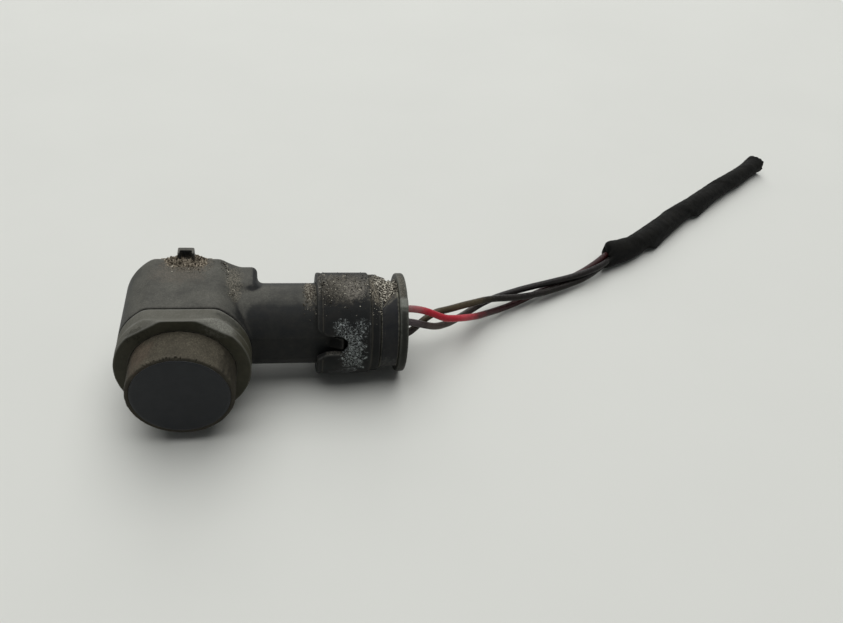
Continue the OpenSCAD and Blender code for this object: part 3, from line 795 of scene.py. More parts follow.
@dataclass(frozen=True)
class Weathered:
    """Moulded plastic or rubber under dust, with edges lightened partly by abrasion and partly as painted
    highlight, stained patches, patches of painted light and shade, and scratches.
    """

    name: str
    body: Colour
    shade: Colour
    dust: Colour
    level: float = 0.7
    dust_share: float = 0.8
    dust_low: float = 0.2
    dust_high: float = 0.85
    sheltered: float = 999.0
    shelter_run: Pair = (-4.0, 1.0)
    shelter_slope: Pair = (0.86, 0.99)
    shelter_less: float = 0.12
    speckle: float = 0.4
    pale_share: float = 0.6
    dark_share: float = 0.7
    edge: Colour = srgb(120, 118, 112)
    edge_share: float = 0.4
    under_share: float = 0.4
    crease: Colour = srgb(82, 78, 70)
    crease_share: float = 0.35
    gloss: float = 0.5
    dull: float = 0.85
    grain: float = 0.35
    grain_scale: float = 5.0
    grain_depth: float = 0.1
    specular: float = 0.08
    patches: tuple[Patch, ...] = ()
    scuffs: tuple[Scuff, ...] = ()

    def make(self, effects: Effects) -> Material:
        """Builds the material: body, then dust, patches, creases, lightened edges and scratches over it.

        Past the sheltered place along X the dust lies on the very top alone.

        Args:
            effects: the shared node groups.

        Returns:
            The material.
        """
        g = Surface(self.name)
        up = g.upward()
        low, high = self.shelter_slope
        kept_off = g.step(g.part(g.place, 0), *(self.sheltered + off for off in self.shelter_run))
        dust = g.effect(effects.dust, {
            "Up": up, "Contrast": self.speckle,
            "Low": g.slide(kept_off, self.dust_low, low), "High": g.slide(kept_off, self.dust_high, high),
            "Level": g.calc("MULTIPLY_ADD", kept_off, -self.shelter_less, self.level)})
        wear_and_highlight = g.effect(effects.wear_and_highlight, {"Edge": g.edge()})
        colour = g.blend(g.step(g.noise(g.place, 0.35, 5.0, 0.6), 0.35, 0.68), self.body, self.shade)
        dulled = g.times(dust["Mask"], self.dust_share)
        colour = g.blend(dulled, colour, self.dust)
        colour = g.cover(colour, dust["Pale"], self.pale_share, tinted(self.dust, 2.0))
        colour = g.cover(colour, dust["Dark"], self.dark_share, self.body)
        for patch in self.patches:
            colour, share = patch.over(g, effects, colour)
            dulled = g.calc("MAXIMUM", dulled, share)
        colour = g.cover(colour, wear_and_highlight["Crease"], self.crease_share, self.crease)
        # Lighter edges, partly abrasion and partly painted highlight: full on edges that face up, weaker on
        # those that face down.
        lightening = g.slide(g.step(up, -0.1, 0.7), self.under_share * self.edge_share, self.edge_share)
        colour = g.blend(g.times(wear_and_highlight["Edge"], lightening), colour, self.edge)
        for scuff in self.scuffs:
            colour, share = scuff.over(g, effects, colour)
            dulled = g.calc("MAXIMUM", dulled, share)
        height = g.effect(effects.grain, {"Scale": self.grain_scale})["Height"]
        height = g.calc("ADD", height, g.times(dulled, g.noise(g.place, 3.0, 4.0, 0.7)))
        return g.dress({"Base Color": colour, "Roughness": g.slide(dulled, self.gloss, self.dull),
                        "Normal": g.bump(height, self.grain, self.grain_depth),
                        "Specular IOR Level": self.specular})


@dataclass(frozen=True)
class ClothTape:
    """Black cloth tape: a plain weave on the wound map, lighter along its edges, partly fraying and partly
    painted highlight on the laps' ridges, with a little lint.
    """

    name: str = "cloth_tape"
    thread: Colour = srgb(7, 7, 6)
    pale_thread: Colour = srgb(24, 24, 22)
    fray_and_highlight_share: float = 0.4
    dust: Colour = srgb(60, 58, 52)
    dust_share: float = 0.18
    pitch: float = 0.42
    depth: float = 0.14
    specular: float = 0.07

    def make(self, effects: Effects) -> Material:
        """Builds the material: crossing threads give height, and edges, dust and noise change the black.

        Args:
            effects: the shared node groups.

        Returns:
            The material.
        """
        g = Surface(self.name)
        wound = g.add("ShaderNodeUVMap", uv_map="wrap").outputs[0]
        weave = g.times(*(g.calc("SINE", g.times(g.part(wound, k), TURN / self.pitch)) for k in (0, 1)))
        dust = g.effect(effects.dust, {"Up": g.upward(), "Low": 0.2, "High": 0.95,
                                       "Level": 0.55, "Contrast": 0.3})
        wear_and_highlight = g.effect(effects.wear_and_highlight, {"Edge": g.edge()})
        cloud = g.noise(g.place, 0.5, 5.0, 0.65)
        colour = g.blend(cloud, tinted(self.thread, 0.6), tinted(self.thread, 1.7))
        colour = g.blend(g.calc("MULTIPLY_ADD", weave, 0.1, 0.1), colour, self.pale_thread)
        # Lighter lap edges: partly fraying, partly painted highlight.
        colour = g.cover(colour, wear_and_highlight["Edge"], self.fray_and_highlight_share, self.pale_thread)
        colour = g.cover(colour, dust["Mask"], self.dust_share, self.dust)
        height = g.calc("MULTIPLY_ADD", weave, 0.5, g.noise(g.place, 1.2, 4.0, 0.6))
        return g.dress({"Base Color": colour, "Roughness": g.slide(g.noise(g.place, 0.8, 3.0), 0.5, 0.8),
                        "Normal": g.bump(height, 0.5, self.depth), "Specular IOR Level": self.specular})


@dataclass(frozen=True)
class Insulation:
    """Wire insulation: an extruded colour, pale by the cap, near black towards the tape and rubbed in
    patches.
    """

    name: str
    body: Colour
    faded: Colour
    dark_end: Colour
    pale: Colour
    dust: Colour = srgb(158, 150, 146)
    level: float = 0.6
    gloss: float = 0.18
    dull: float = 0.4
    specular: float = 0.13
    pale_x: Pair = (59.0, 53.0)
    pale_share: float = 0.85
    dark_end_x: Pair = (69.0, 80.0)
    dark_end_share: float = 0.95
    dust_share: float = 0.04
    rub_share: float = 0.05
    waver: float = 10.0

    def make(self, effects: Effects) -> Material:
        """Builds the material: faded patches, the two ends' tints along X, rubbed lines, and dust on top.

        Args:
            effects: the shared node groups.

        Returns:
            The material.
        """
        g = Surface(self.name)
        dust = g.effect(effects.dust, {"Up": g.upward(), "Low": 0.3, "High": 1.0,
                                       "Level": self.level, "Contrast": 0.5})
        lightening = g.effect(effects.scuff, {"Density": 0.45})
        off = g.calc("MULTIPLY_ADD", g.noise(g.place, 0.3, 4.0, 0.6), self.waver, -self.waver / 2)
        along = g.calc("ADD", g.part(g.place, 0), off)
        colour = g.blend(g.step(g.noise(g.place, 0.16, 5.0, 0.6), 0.38, 0.66), self.body, self.faded)
        colour = g.cover(colour, g.step(along, *self.pale_x), self.pale_share, self.pale)
        # Near black towards the tape.
        colour = g.cover(colour, g.step(along, *self.dark_end_x), self.dark_end_share, self.dark_end)
        colour = g.cover(colour, dust["Mask"], self.dust_share, self.dust)
        colour = g.cover(colour, lightening["Mask"], self.rub_share, self.dust)
        height = g.effect(effects.grain, {"Scale": 4.0})["Height"]
        return g.dress({"Base Color": colour, "Roughness": g.slide(dust["Mask"], self.gloss, self.dull),
                        "Normal": g.bump(height, 0.25, 0.05), "Specular IOR Level": self.specular})


@dataclass(frozen=True)
class Soil:
    """Dried road dirt: grey-brown, speckled with pale sand and dark bits."""

    name: str = "road_dirt"
    sand: Colour = srgb(204, 199, 184)
    brown: Colour = srgb(80, 75, 66)
    dark: Colour = srgb(17, 15, 13)
    faint_x: float = 28.0
    faint_run: Pair = (2.6, 1.9)
    faint_share: float = 0.55
    depth: float = 0.25
    specular: float = 0.15

    def make(self, effects: Effects) -> Material:
        """Builds the material: fine noise picks sand, brown or dark, fainter on the neck by the sleeve.

        Args:
            effects: the shared node groups.

        Returns:
            The material.
        """
        g = Surface(self.name)
        grain = g.noise(g.place, 2.6, 2.0, 0.5)
        colour = g.blend(g.step(grain, 0.5, 0.64), self.brown, self.sand)
        colour = g.blend(g.step(grain, 0.475, 0.4), colour, self.dark)
        off = g.calc("ABSOLUTE", g.calc("SUBTRACT", g.part(g.place, 0), self.faint_x))
        colour = g.cover(colour, g.step(off, *self.faint_run), self.faint_share, self.brown)
        height = g.effect(effects.grain, {"Scale": 3.0})["Height"]
        return g.dress({"Base Color": colour, "Roughness": g.slide(g.noise(g.place, 2.0, 3.0), 0.8, 1.0),
                        "Normal": g.bump(height, 0.8, self.depth), "Specular IOR Level": self.specular})


@dataclass(frozen=True)
class Inner:
    """Finish of a piece inside the part: its colour with mottling, a little grain and a gloss that varies."""

    name: str
    body: Colour
    mottle: Colour
    metallic: float = 0.0
    gloss: float = 0.4
    gloss_span: float = 0.2
    scale: float = 1.2

    def make(self, effects: Effects) -> Material:
        """Builds the material: noise picks the colour or its mottling, and their gloss.

        Args:
            effects: the shared node groups.

        Returns:
            The material.
        """
        g = Surface(self.name)
        mottled = g.step(g.noise(g.place, self.scale, 5.0, 0.6), 0.35, 0.7)
        rough = g.slide(mottled, self.gloss, min(1.0, self.gloss + self.gloss_span))
        height = g.effect(effects.grain, {"Scale": 5.0})["Height"]
        return g.dress({"Base Color": g.blend(mottled, self.body, self.mottle), "Roughness": rough,
                        "Normal": g.bump(height, 0.3, 0.05), "Metallic": self.metallic})


@dataclass
class Studio:
    """Camera at the photograph's view, pale floor and soft light from above and behind."""

    width: float = 843.0
    focal: float = 851.02
    sensor: float = 36.0
    near: float = 0.005
    eye: Point = (21.52, -141.11, 138.07)
    turns: Point = (-12.36, -39.99, -7.6)
    roll: float = 3.37
    floor: Colour = srgb(219, 220, 214)
    floor_half: float = 3.0
    sky: Colour = (0.94, 0.97, 1.0)
    sky_level: float = 0.11
    pale_level: float = 0.72
    aim: Point = (0.07, 0.03, 0.0)
    lamp_level: float = 44.0
    lamp_spot: Point = (0.09, 0.35, 1.95)
    lamp_size: float = 2.5
    back_level: float = 8.5
    back_spot: Point = (0.05, 1.6, 1.1)
    back_size: float = 1.2

    def camera(self) -> None:
        """Places the camera by its fitted eye and turns about Z, X and Y, then turns it with the floor."""
        z, x, y = (Matrix.Rotation(math.radians(a), 3, axis) for a, axis in zip(self.turns, "ZXY"))
        level = Matrix.Rotation(math.radians(self.roll), 3, "Y")
        turn = np.array(level @ z @ x @ y)
        pose = np.eye(4)
        pose[:3, 0], pose[:3, 1], pose[:3, 2] = turn[:, 0], turn[:, 2], -turn[:, 1]
        pose[:3, 3] = np.array(level) @ np.array(self.eye) * MM
        data = bpy.data.cameras.new("camera")
        data.sensor_width = self.sensor
        data.lens = self.sensor * self.focal / self.width
        data.clip_start = self.near
        camera = bpy.data.objects.new("camera", data)
        camera.matrix_world = Matrix(pose.tolist())
        bpy.context.scene.collection.objects.link(camera)
        bpy.context.scene.camera = camera

    def ground(self) -> None:
        """Lays the floor, a square of one face, with a faint mottling."""
        mesh = bpy.data.meshes.new("floor")
        half, z = self.floor_half, DATUM.floor_z * MM
        corners = [(-half, -half, z), (half, -half, z), (half, half, z), (-half, half, z)]
        mesh.from_pydata(corners, [], [(0, 1, 2, 3)])
        g = Surface("pale_floor")
        mottled = g.noise(g.place, 0.02, 4.0)
        mesh.materials.append(g.dress({"Base Color": g.blend(mottled, self.floor, tinted(self.floor, 0.95)),
                                       "Roughness": g.slide(mottled, 0.75, 0.85), "Specular IOR Level": 0.2}))
        floor = bpy.data.objects.new("floor", mesh)
        bpy.context.scene.collection.objects.link(floor)

    def lamp(self, name: str, spot: Point, size: float, watts: float) -> None:
        """Hangs a square soft lamp that is turned to the part.

        Args:
            name: name of the lamp.
            spot: its place in metres.
            size: length of its side in metres.
            watts: its power.
        """
        data = bpy.data.lights.new(name, "AREA")
        data.size, data.energy = size, watts
        lamp = bpy.data.objects.new(name, data)
        turn = (Vector(spot) - Vector(self.aim)).to_track_quat("Z", "Y")
        lamp.matrix_world = Matrix.Translation(spot) @ turn.to_matrix().to_4x4()
        bpy.context.scene.collection.objects.link(lamp)

    def light(self) -> None:
        """Lights the part by a large lamp above, a weak one behind and an even sky that is seen pale."""
        self.lamp("soft_lamp", self.lamp_spot, self.lamp_size, self.lamp_level)
        self.lamp("back_lamp", self.back_spot, self.back_size, self.back_level)
        world = bpy.data.worlds.new("pale_sky")
        bpy.context.scene.world = world
        world.use_nodes = True
        g = Graph(world.node_tree)
        rays = g.add("ShaderNodeLightPath").outputs
        mirrored = g.calc("MAXIMUM", rays["Is Glossy Ray"], rays["Is Transmission Ray"])
        seen = g.calc("MAXIMUM", rays["Is Camera Ray"], mirrored)
        g.feed(g.tree.nodes["Background"].inputs,
               {"Color": self.sky, "Strength": g.slide(seen, self.sky_level, self.pale_level)})

    def set_up(self) -> None:
        """Makes the camera, the floor and the light, with the plain view transform."""
        bpy.context.scene.view_settings.view_transform = "Standard"
        self.camera()
        self.ground()
        self.light()
        LOG.info("studio: camera, floor and lamps")


LOOSE_ROUTE = ((56, 16.5, 11.6), (60.5, 18, 10.4), (64.5, 20.2, 8.9), (68, 22.8, 7.5), (71.5, 25.4, 6.3),
               (75.3, 28.2, 5.2), (79, 30.4, 4.3), (83, 32.3, 3.6), (87.5, 34.2, 3.2), (92, 36, 3),
               (96.5, 37.7, 3), (101, 39.5, 3), (105.5, 41.4, 3.1), (109.8, 43.9, 3.2), (113.2, 46.4, 3.3))
TAPE_ROUTE = ((116.2, 48.9, 3.4), (120, 51, 3.4), (124, 53.4, 3.4), (129, 57, 3.3), (134, 60.8, 3.3),
              (139.5, 65.2, 3.2), (145, 69.6, 3.2), (151, 74, 3.1), (157, 78.4, 3.1), (163.3, 83, 3),
              (169.6, 87.6, 3), (177, 93.1, 2.9), (184, 98.3, 2.9))


@dataclass
class Wire:
    """One wire: its row in the cap, turn in the twist in degrees, side on which it passes, and finish."""

    name: str
    row: int
    phase: float
    side: int
    slot: Slot
    finish: Insulation


@dataclass
class Pigtail:
    """Three wires that leave the cap in a row, twist together and run through the tape to the cut end."""

    line_step: float = 0.5
    wire_d: float = 1.8
    wire_sides: int = 16
    wire_x: float = 41.5
    loose_lay: float = 2.1
    tight_lay: float = 1.09
    twist: float = 4.1
    fan_run: float = 11.6
    pass_bow: float = 0.4
    close_run: float = 32.0
    close_end: float = 14.0
    top_run: float = 13.0
    top_turn: float = -57.0
    tape_cols: int = 72
    tape_r: float = 3.05
    tape_start_r: float = 2.2
    tape_start_run: float = 3.0
    tape_end_r: float = 2.55
    tape_t: float = 0.45
    lap_pitch: float = 25.5
    lap_start: float = 0.72
    lap_waver: float = 0.008
    lap_edge: float = 0.12
    lap_fall: float = 1.2
    lap_rise: float = 0.26
    lap_sag: float = 1.8
    sag_turn: float = 140.0
    sag_width: float = 50.0
    sag_start: Pair = (5.0, 14.0)
    sag_run: float = 58.0
    flap_rise: float = 2.4
    flap_turn: float = -25.0
    flap_width: float = 42.0
    flap_len: float = 10.0
    flap_fall: float = 1.3
    lobe: float = 0.1
    wrinkle: float = 0.06
    thread_wave: float = 0.03
    end_flare: float = 0.45
    flare_run: float = 2.5
    nose_run: float = 1.5
    nose_t: float = 0.1
    start_ragged: float = 0.55
    end_ragged: float = 0.4
    ragged_run: float = 2.0
    skew: float = 3.4
    skew_turn: float = 320.0
    skew_run: float = 6.0
    sink: float = 0.3
    strand_r: float = 0.14
    strand_lay: float = 0.3
    strand_span: Pair = (-0.4, 0.22)
    wires: tuple[Wire, ...] = (
        Wire("red_wire", 1, 120, 0, Slot.RED, Insulation(
            "red_insulation", srgb(168, 34, 48), srgb(182, 62, 72), srgb(17, 9, 8), srgb(150, 112, 112),
            dark_end_x=(66.0, 76.0))),
        Wire("brown_wire", -1, 0, -1, Slot.BROWN, Insulation(
            "brown_insulation", srgb(60, 51, 35), srgb(76, 67, 47), srgb(14, 11, 9), srgb(44, 38, 36))),
        Wire("grey_wire", 0, 240, 1, Slot.GREY, Insulation(
            "grey_insulation", srgb(56, 49, 45), srgb(78, 70, 65), srgb(15, 12, 11), srgb(96, 86, 88))))

    def __post_init__(self) -> None:
        """Works out the middle line, its frame, and the runs of the cap and the tape along it."""
        rise = [0, 0, DATUM.floor_z]
        inner = DATUM.laid([[x, DATUM.neck_y, 0] for x in (self.wire_x, DATUM.seal_x, DATUM.cap_end)])
        knots = np.concatenate([inner, np.add(LOOSE_ROUTE, rise), np.add(TAPE_ROUTE, rise)])
        self.line = smooth_line(knots, self.line_step)
        _, self.right, self.up = line_frame(self.line)
        cap_knot, tape_knot = knots[len(inner) - 1], knots[len(inner) + len(LOOSE_ROUTE)]
        cap_at, self.tape_at = (int(np.argmin(np.linalg.norm(self.line - knot, axis=1)))
                                for knot in (cap_knot, tape_knot))
        run = run_of(self.line)
        self.run = run - run[cap_at]
        self.tape_run = float(self.run[self.tape_at])

    def wire_line(self, wire: Wire) -> Array:
        """Follows one wire: off the middle line by its row, easing into a helix that tightens at the tape.

        Args:
            wire: the wire.

        Returns:
            Points along its middle.
        """
        fan = ease(self.run / self.fan_run)
        closing = ease((self.run - self.tape_run + self.close_end) / self.close_run + 1)
        lay = self.loose_lay + (self.tight_lay - self.loose_lay) * closing
        turn = np.radians(self.twist * (self.run - self.top_run) + self.top_turn + wire.phase)
        up = (1 - fan) * wire.row * DATUM.row_pitch + fan * lay * np.cos(turn)
        out = fan * lay * np.sin(turn) + wire.side * self.pass_bow * 4 * fan * (1 - fan)
        line = self.line + up[:, None] * self.up + out[:, None] * self.right
        return line[self.run <= self.run[-1] - self.sink]

    def lap_height(self, s: Array, a: Array, spots: Array) -> Array:
        """Gives the height of the laps.

        A lap's phase is the run over the pitch less the share of a turn. The height rises over an eighth of
        it and falls again over the rest, more on the lower side of the first laps, where they hang loose.

        Args:
            s: the run along the tape.
            a: angles from the top.
            spots: rows by columns of places, for the waver of the lap's edge.

        Returns:
            Rows by columns of heights.
        """
        waver = self.lap_waver * ripple(spots, 4, 31)
        phase = np.mod(s[:, None] / self.lap_pitch - a / TURN + self.lap_start + waver, 1)
        lap = ease(phase, 0, self.lap_edge) * (1 - phase) ** self.lap_fall
        hangs = np.exp(-(s / self.sag_run) ** 4) * ease(s, *self.sag_start)
        below = np.exp(-((np.degrees(a) - self.sag_turn) / self.sag_width) ** 2) * hangs[:, None]
        return (self.lap_rise + self.lap_sag * below) * lap

    def tape_skin(self) -> Skin:
        """Winds the tape: a closed shell along the middle line whose radius rises at each lap's edge.

        A flap that stands off the top at the start, lobes over the wires and wrinkles are added to the laps.
        Both ends are ragged. The start is rounded over, and skewed so that it comes first on the near side.

        Returns:
            The shell, with the run and the girth in millimetres as its map.
        """
        line, right, up = (v[self.tape_at:] for v in (self.line, self.right, self.up))
        s, a = run_of(line), around(self.tape_cols)
        to_end = s[-1] - s
        ring = ring_ways(right, up, self.tape_cols)
        spots = line[:, None] + 3 * ring
        lifted = np.exp(-(off_angle(np.degrees(a), self.flap_turn) / self.flap_width) ** 2)
        flap = self.flap_rise * lifted * np.maximum(1 - s / self.flap_len, 0)[:, None] ** self.flap_fall
        twist = self.twist * (s[:, None] + self.tape_run - self.top_run) + self.top_turn
        lobes = self.lobe * np.cos(3 * (a - np.radians(twist)))
        core = self.tape_r + (self.tape_end_r - self.tape_r) * s / s[-1]
        core -= (self.tape_r - self.tape_start_r) * np.exp(-s / self.tape_start_run)
        flare = self.end_flare * np.exp(-to_end / self.flare_run)
        outer = core[:, None] + self.lap_height(s, a, spots) + flap + lobes + flare[:, None]
        wrinkles = self.wrinkle * ripple(spots * [1, 1, 1.6], 3.2, 33)
        outer += wrinkles + self.thread_wave * ripple(spots, 1.1, 34)
        down = np.maximum(-np.cos(a), 0.4)
        outer = np.minimum(outer, np.where(down > 0.4, (line[:, 2:] - DATUM.floor_z) / down, np.inf))
        inner = outer - flap - self.tape_t
        nose = np.sqrt(1 - (1 - np.minimum(s / self.nose_run, 1)) ** 2)[:, None]
        outer = inner + self.nose_t + (outer - inner - self.nose_t) * nose
        ragged = (self.start_ragged * ripple(spots[0], 2.2, 35) * np.exp(-s / self.ragged_run)[:, None]
                  + self.end_ragged * ripple(spots[-1], 1.4, 36) * np.exp(-to_end / self.ragged_run)[:, None])
        lag = self.skew / 2 * (1 - np.cos(a - math.radians(self.skew_turn)))
        ragged -= lag * np.exp(-s / self.skew_run)[:, None]
        middle = line[:, None] + ragged[..., None] * line_frame(line)[0][:, None]
        wall = np.concatenate([middle + outer[..., None] * ring, (middle + inner[..., None] * ring)[::-1]])
        return grid_skin(wall, wrap_rows=True, row_map=np.concatenate([s, s[::-1], s[:1]]),
                         col_map=np.arange(self.tape_cols + 1) * TURN / self.tape_cols * self.tape_r)

    def strand_skin(self, lines: Sequence[Array]) -> Skin:
        """Lays cut strands in each wire's end, along its last direction: one in the middle and six round it.

        Args:
            lines: points along each wire.

        Returns:
            All strands, each a short tube.
        """
        strands = []
        for line in lines:
            along, right, up = (v[-1] for v in line_frame(line))
            run = np.linspace(*self.strand_span, 4)[:, None] * along
            for k in range(7):
                off = self.strand_lay if k else 0.0
                foot = line[-1] + off * (math.cos(k * TURN / 6) * up + math.sin(k * TURN / 6) * right)
                strands.append(tube_skin(foot + run, np.full(len(run), self.strand_r), 8))
        return join_skins(strands)

    def build(self, effects: Effects) -> None:
        """Makes the tape, the strands and the wires.

        Args:
            effects: the shared node groups.
        """
        tape = make_piece("harness_tape_wound", self.tape_skin(), ClothTape().make(effects), Slot.TAPE,
                          ["harness_tape"], 60)
        lines = [self.wire_line(wire) for wire in self.wires]
        copper = Inner("cut_copper", srgb(186, 120, 82), srgb(140, 86, 58), 1.0, 0.35).make(effects)
        strands = make_piece("cut_strands", self.strand_skin(lines), copper, Slot.CONTACT)
        for wire, line in zip(self.wires, lines):
            radii = self.wire_d / 2 * (1 + 0.02 * ripple(line, 6, 40 + wire.row))
            tube = make_piece(f"{wire.name}_insulated", tube_skin(line, radii, self.wire_sides),
                              wire.finish.make(effects), wire.slot, [wire.name])
            leaves = DATUM.laid([DATUM.cap_end, DATUM.neck_y, wire.row * DATUM.row_pitch]) * MM
            float(run_of(line)[-1]) * MM


@dataclass
class SensorHead:
    """The round head: housing with its neck, corner block, tab and catch, front bezel, ring and cup."""

    cell: float = 0.3
    space_low: Point = (-15.9, 3.6, -15.9)
    space_high: Point = (41.8, 25.7, 16.8)
    barrel_y: float = 6.6
    back_y: float = 24.8
    edge: float = 0.5
    back_edge: float = 0.8
    neck_fillet: float = 0.9
    lip_top: float = 14.75
    lip_side: float = 14.4
    lip_turn: float = 32.0
    lip_step: float = 0.1
    lip_len: float = 2.8
    lip_drop: float = 0.06
    lip_round: float = 0.26
    lip_crest: float = 0.12
    bezel_cols: int = 420
    bezel_len: float = 6.15
    bezel_bore: float = 11.55
    bezel_lead: float = 11.9
    bezel_round: float = 0.25
    bezel_wave: float = 0.015
    collar_less: float = 0.04
    collar_round: float = 0.7
    cup_cols: int = 240
    cup_r: float = 10.8
    cup_reach: float = 8.4
    cup_wall: float = 1.3
    face_t: float = 0.9
    dish: float = 0.75
    dish_r: float = 1.6
    face_lip: float = 0.22
    face_drop: float = 0.32
    seat: float = 4.4
    ring_cols: int = 540
    ring_r: float = 11.8
    ring_front: float = -8.2
    ring_rounds: Point = (0.25, 0.5, 0.1)
    ring_waves: Pair = (0.05, 0.03)
    ring_sink: float = 0.05
    nicks: int = 26
    nick_span: float = 38.0
    nick_width: Pair = (0.25, 0.6)
    nick_depth: Pair = (0.4, 1.3)
    nick_share: float = 0.3
    nick_reach: float = 0.35
    tail_r: float = 11.5
    tail_back: float = 8.6
    neck_end: float = 41.0
    socket_r: float = 7.9
    socket_x: float = 23.0
    hollow_r: float = 7.1
    hollow_x: float = 20.0
    rooms: tuple[tuple[float, float, float, float], ...] = (
        (13.05, 10.9, 11.0, 26.0), (11.85, 9.7, 8.6, 12.0), (13.65, 11.5, 23.2, 40.0))
    room_round: float = 0.4
    inner_edge: float = 0.3
    tab: Point = (3.8, 2.4, 3.1)
    tab_wall: float = 0.6
    tab_pocket: float = 1.2
    tab_round: float = 0.3
    pocket_round: float = 0.25
    block: Point = (16.2, 8.2, 10.8)
    block_foot: float = -4.0
    block_round: float = 1.4
    block_fillet: float = 1.6
    catch_x: float = 33.04
    catch: Point = (3.2, 3.0, 1.5)
    catch_top: float = 0.6
    catch_round: float = 0.3

    def rounded_box(self, place: tuple[Array, Array, Array], low: Point, high: Point, radius: float) -> Array:
        """Distance to a rounded box: the length of what stands out of the shrunk box, less the radius.

        Args:
            place: X, Y and Z.
            low: lowest corner of the box.
            high: highest corner.
            radius: radius of its edges.

        Returns:
            The distance, negative inside.
        """
        q = [np.abs(v - (a + b) / 2) - ((b - a) / 2 - radius) for v, a, b in zip(place, low, high)]
        out = np.sqrt(sum(np.maximum(v, 0) ** 2 for v in q))
        return out + np.minimum(np.maximum(np.maximum(q[0], q[1]), q[2]), 0) - radius

    def flat_round(self, x: Array, z: Array, r: float, flat: float, width: float) -> Array:
        """Distance to a round bar along Y with a flat on top."""
        return smooth_max(np.hypot(x, z) - r, z - flat, width)

    def with_tab(self, solid: Array, place: tuple[Array, Array, Array]) -> Array:
        """Adds the index tab, which is open in front and on top.

        Args:
            solid: distance to what the tab stands on.
            place: X, Y and Z.

        Returns:
            The distance with the tab.
        """
        wide, deep, tall = self.tab
        half, front, foot = wide / 2, self.back_y - deep, DATUM.barrel_flat
        tab = self.rounded_box(place, (-half, front, foot - 2), (half, self.back_y, foot + tall),
                               self.tab_round)
        pocket = self.rounded_box(place, (self.tab_wall - half, front - 2, foot + self.tab_wall),
                                  (half - self.tab_wall, front + self.tab_pocket, foot + tall + 1),
                                  self.pocket_round)
        return smooth_max(smooth_min(solid, tab, self.edge), -pocket, self.pocket_round)

    def catch_field(self, x: Array, y: Array, z: Array) -> Array:
        """Distance to the catch: a ramp along the neck with a level top and a steep end.

        Args:
            x: places along the neck.
            y: places along the head.
            z: heights.

        Returns:
            The distance, negative inside.
        """
        across, out = DATUM.turned_about(y, z, DATUM.catch_angle)
        length, width, height = self.catch
        slope = height / (length - self.catch_top)
        ramp = (out - DATUM.neck_r - slope * (x - self.catch_x)) / math.hypot(1, slope)
        catch = smooth_max(ramp, out - DATUM.neck_r - height, self.catch_round)
        catch = smooth_max(catch, x - self.catch_x - length, self.catch_round)
        catch = smooth_max(catch, np.abs(across) - width / 2, self.catch_round)
        return np.maximum(catch, DATUM.neck_r - 1 - out)

    def housing_field(self, x: Array, y: Array, z: Array) -> Array:
        """Distance to the housing: barrel, neck, block, tab and catch blended, less the spaces inside.

        Args:
            x: places along the neck.
            y: places along the head.
            z: heights.

        Returns:
            The distance, negative inside.
        """
        side = self.flat_round(x, z, DATUM.head_r, DATUM.barrel_flat, self.edge)
        body = smooth_max(smooth_max(side, self.barrel_y - y, self.edge), y - self.back_y, self.back_edge)
        tail = np.maximum(np.hypot(x, z) - self.tail_r, between(y, self.seat, self.tail_back))
        round_x = np.hypot(y - DATUM.neck_y, z)
        neck = smooth_max(smooth_max(round_x - DATUM.neck_r, x - self.neck_end, self.edge), -x, self.edge)
        neck = np.maximum(neck, between(y, self.barrel_y, self.back_y))
        bx, by, bz = self.block
        block = self.rounded_box((x, y, z), (0, self.back_y - by, self.block_foot), (bx, self.back_y, bz),
                                 self.block_round)
        solid = smooth_min(smooth_min(body, neck, self.neck_fillet), block, self.block_fillet)
        solid = np.minimum(self.with_tab(solid, (x, y, z)), tail)
        solid = smooth_min(solid, self.catch_field(x, y, z), self.catch_round)
        spaces = [np.maximum(self.flat_round(x, z, r, flat, self.room_round), between(y, front, back))
                  for r, flat, front, back in self.rooms]
        spaces += [np.maximum(round_x - self.hollow_r, between(x, 0, self.hollow_x)),
                   np.maximum(round_x - self.socket_r, self.socket_x - x)]
        for space in spaces:
            solid = smooth_max(solid, -space, self.inner_edge)
        return solid

    def bezel_outline(self, y: Array, a: Array) -> Array:
        """Gives the bezel's outer radius.

        On the lip it is the smallest of the round and three sloping facets, each its distance at that place
        over the cosine of the angle to it, and on the collar the smaller of the round and the barrel's flat.

        Args:
            y: places along the axis.
            a: angles from the top.

        Returns:
            The radius for each pair of them.
        """
        least = 0.5
        lip = np.full(np.broadcast(y, a).shape, DATUM.head_r)
        back = DATUM.head_r + self.lip_step
        facets = ((0, self.lip_top, DATUM.barrel_flat + self.lip_step), (self.lip_turn, self.lip_side, back),
                  (-self.lip_turn, self.lip_side, back))
        for turn, near, far in facets:
            reach = near + (far - near) * np.clip(y / self.lip_len, 0, 1)
            facet = reach / np.maximum(np.cos(a - math.radians(turn)), least)
            lip = smooth_min(lip, facet, self.lip_crest)
        flat = DATUM.barrel_flat / np.maximum(np.cos(a), least) + 0 * y
        collar = smooth_min(np.full_like(lip, DATUM.head_r - self.collar_less), flat, self.collar_round)
        return np.where(y <= self.lip_len, lip, collar)

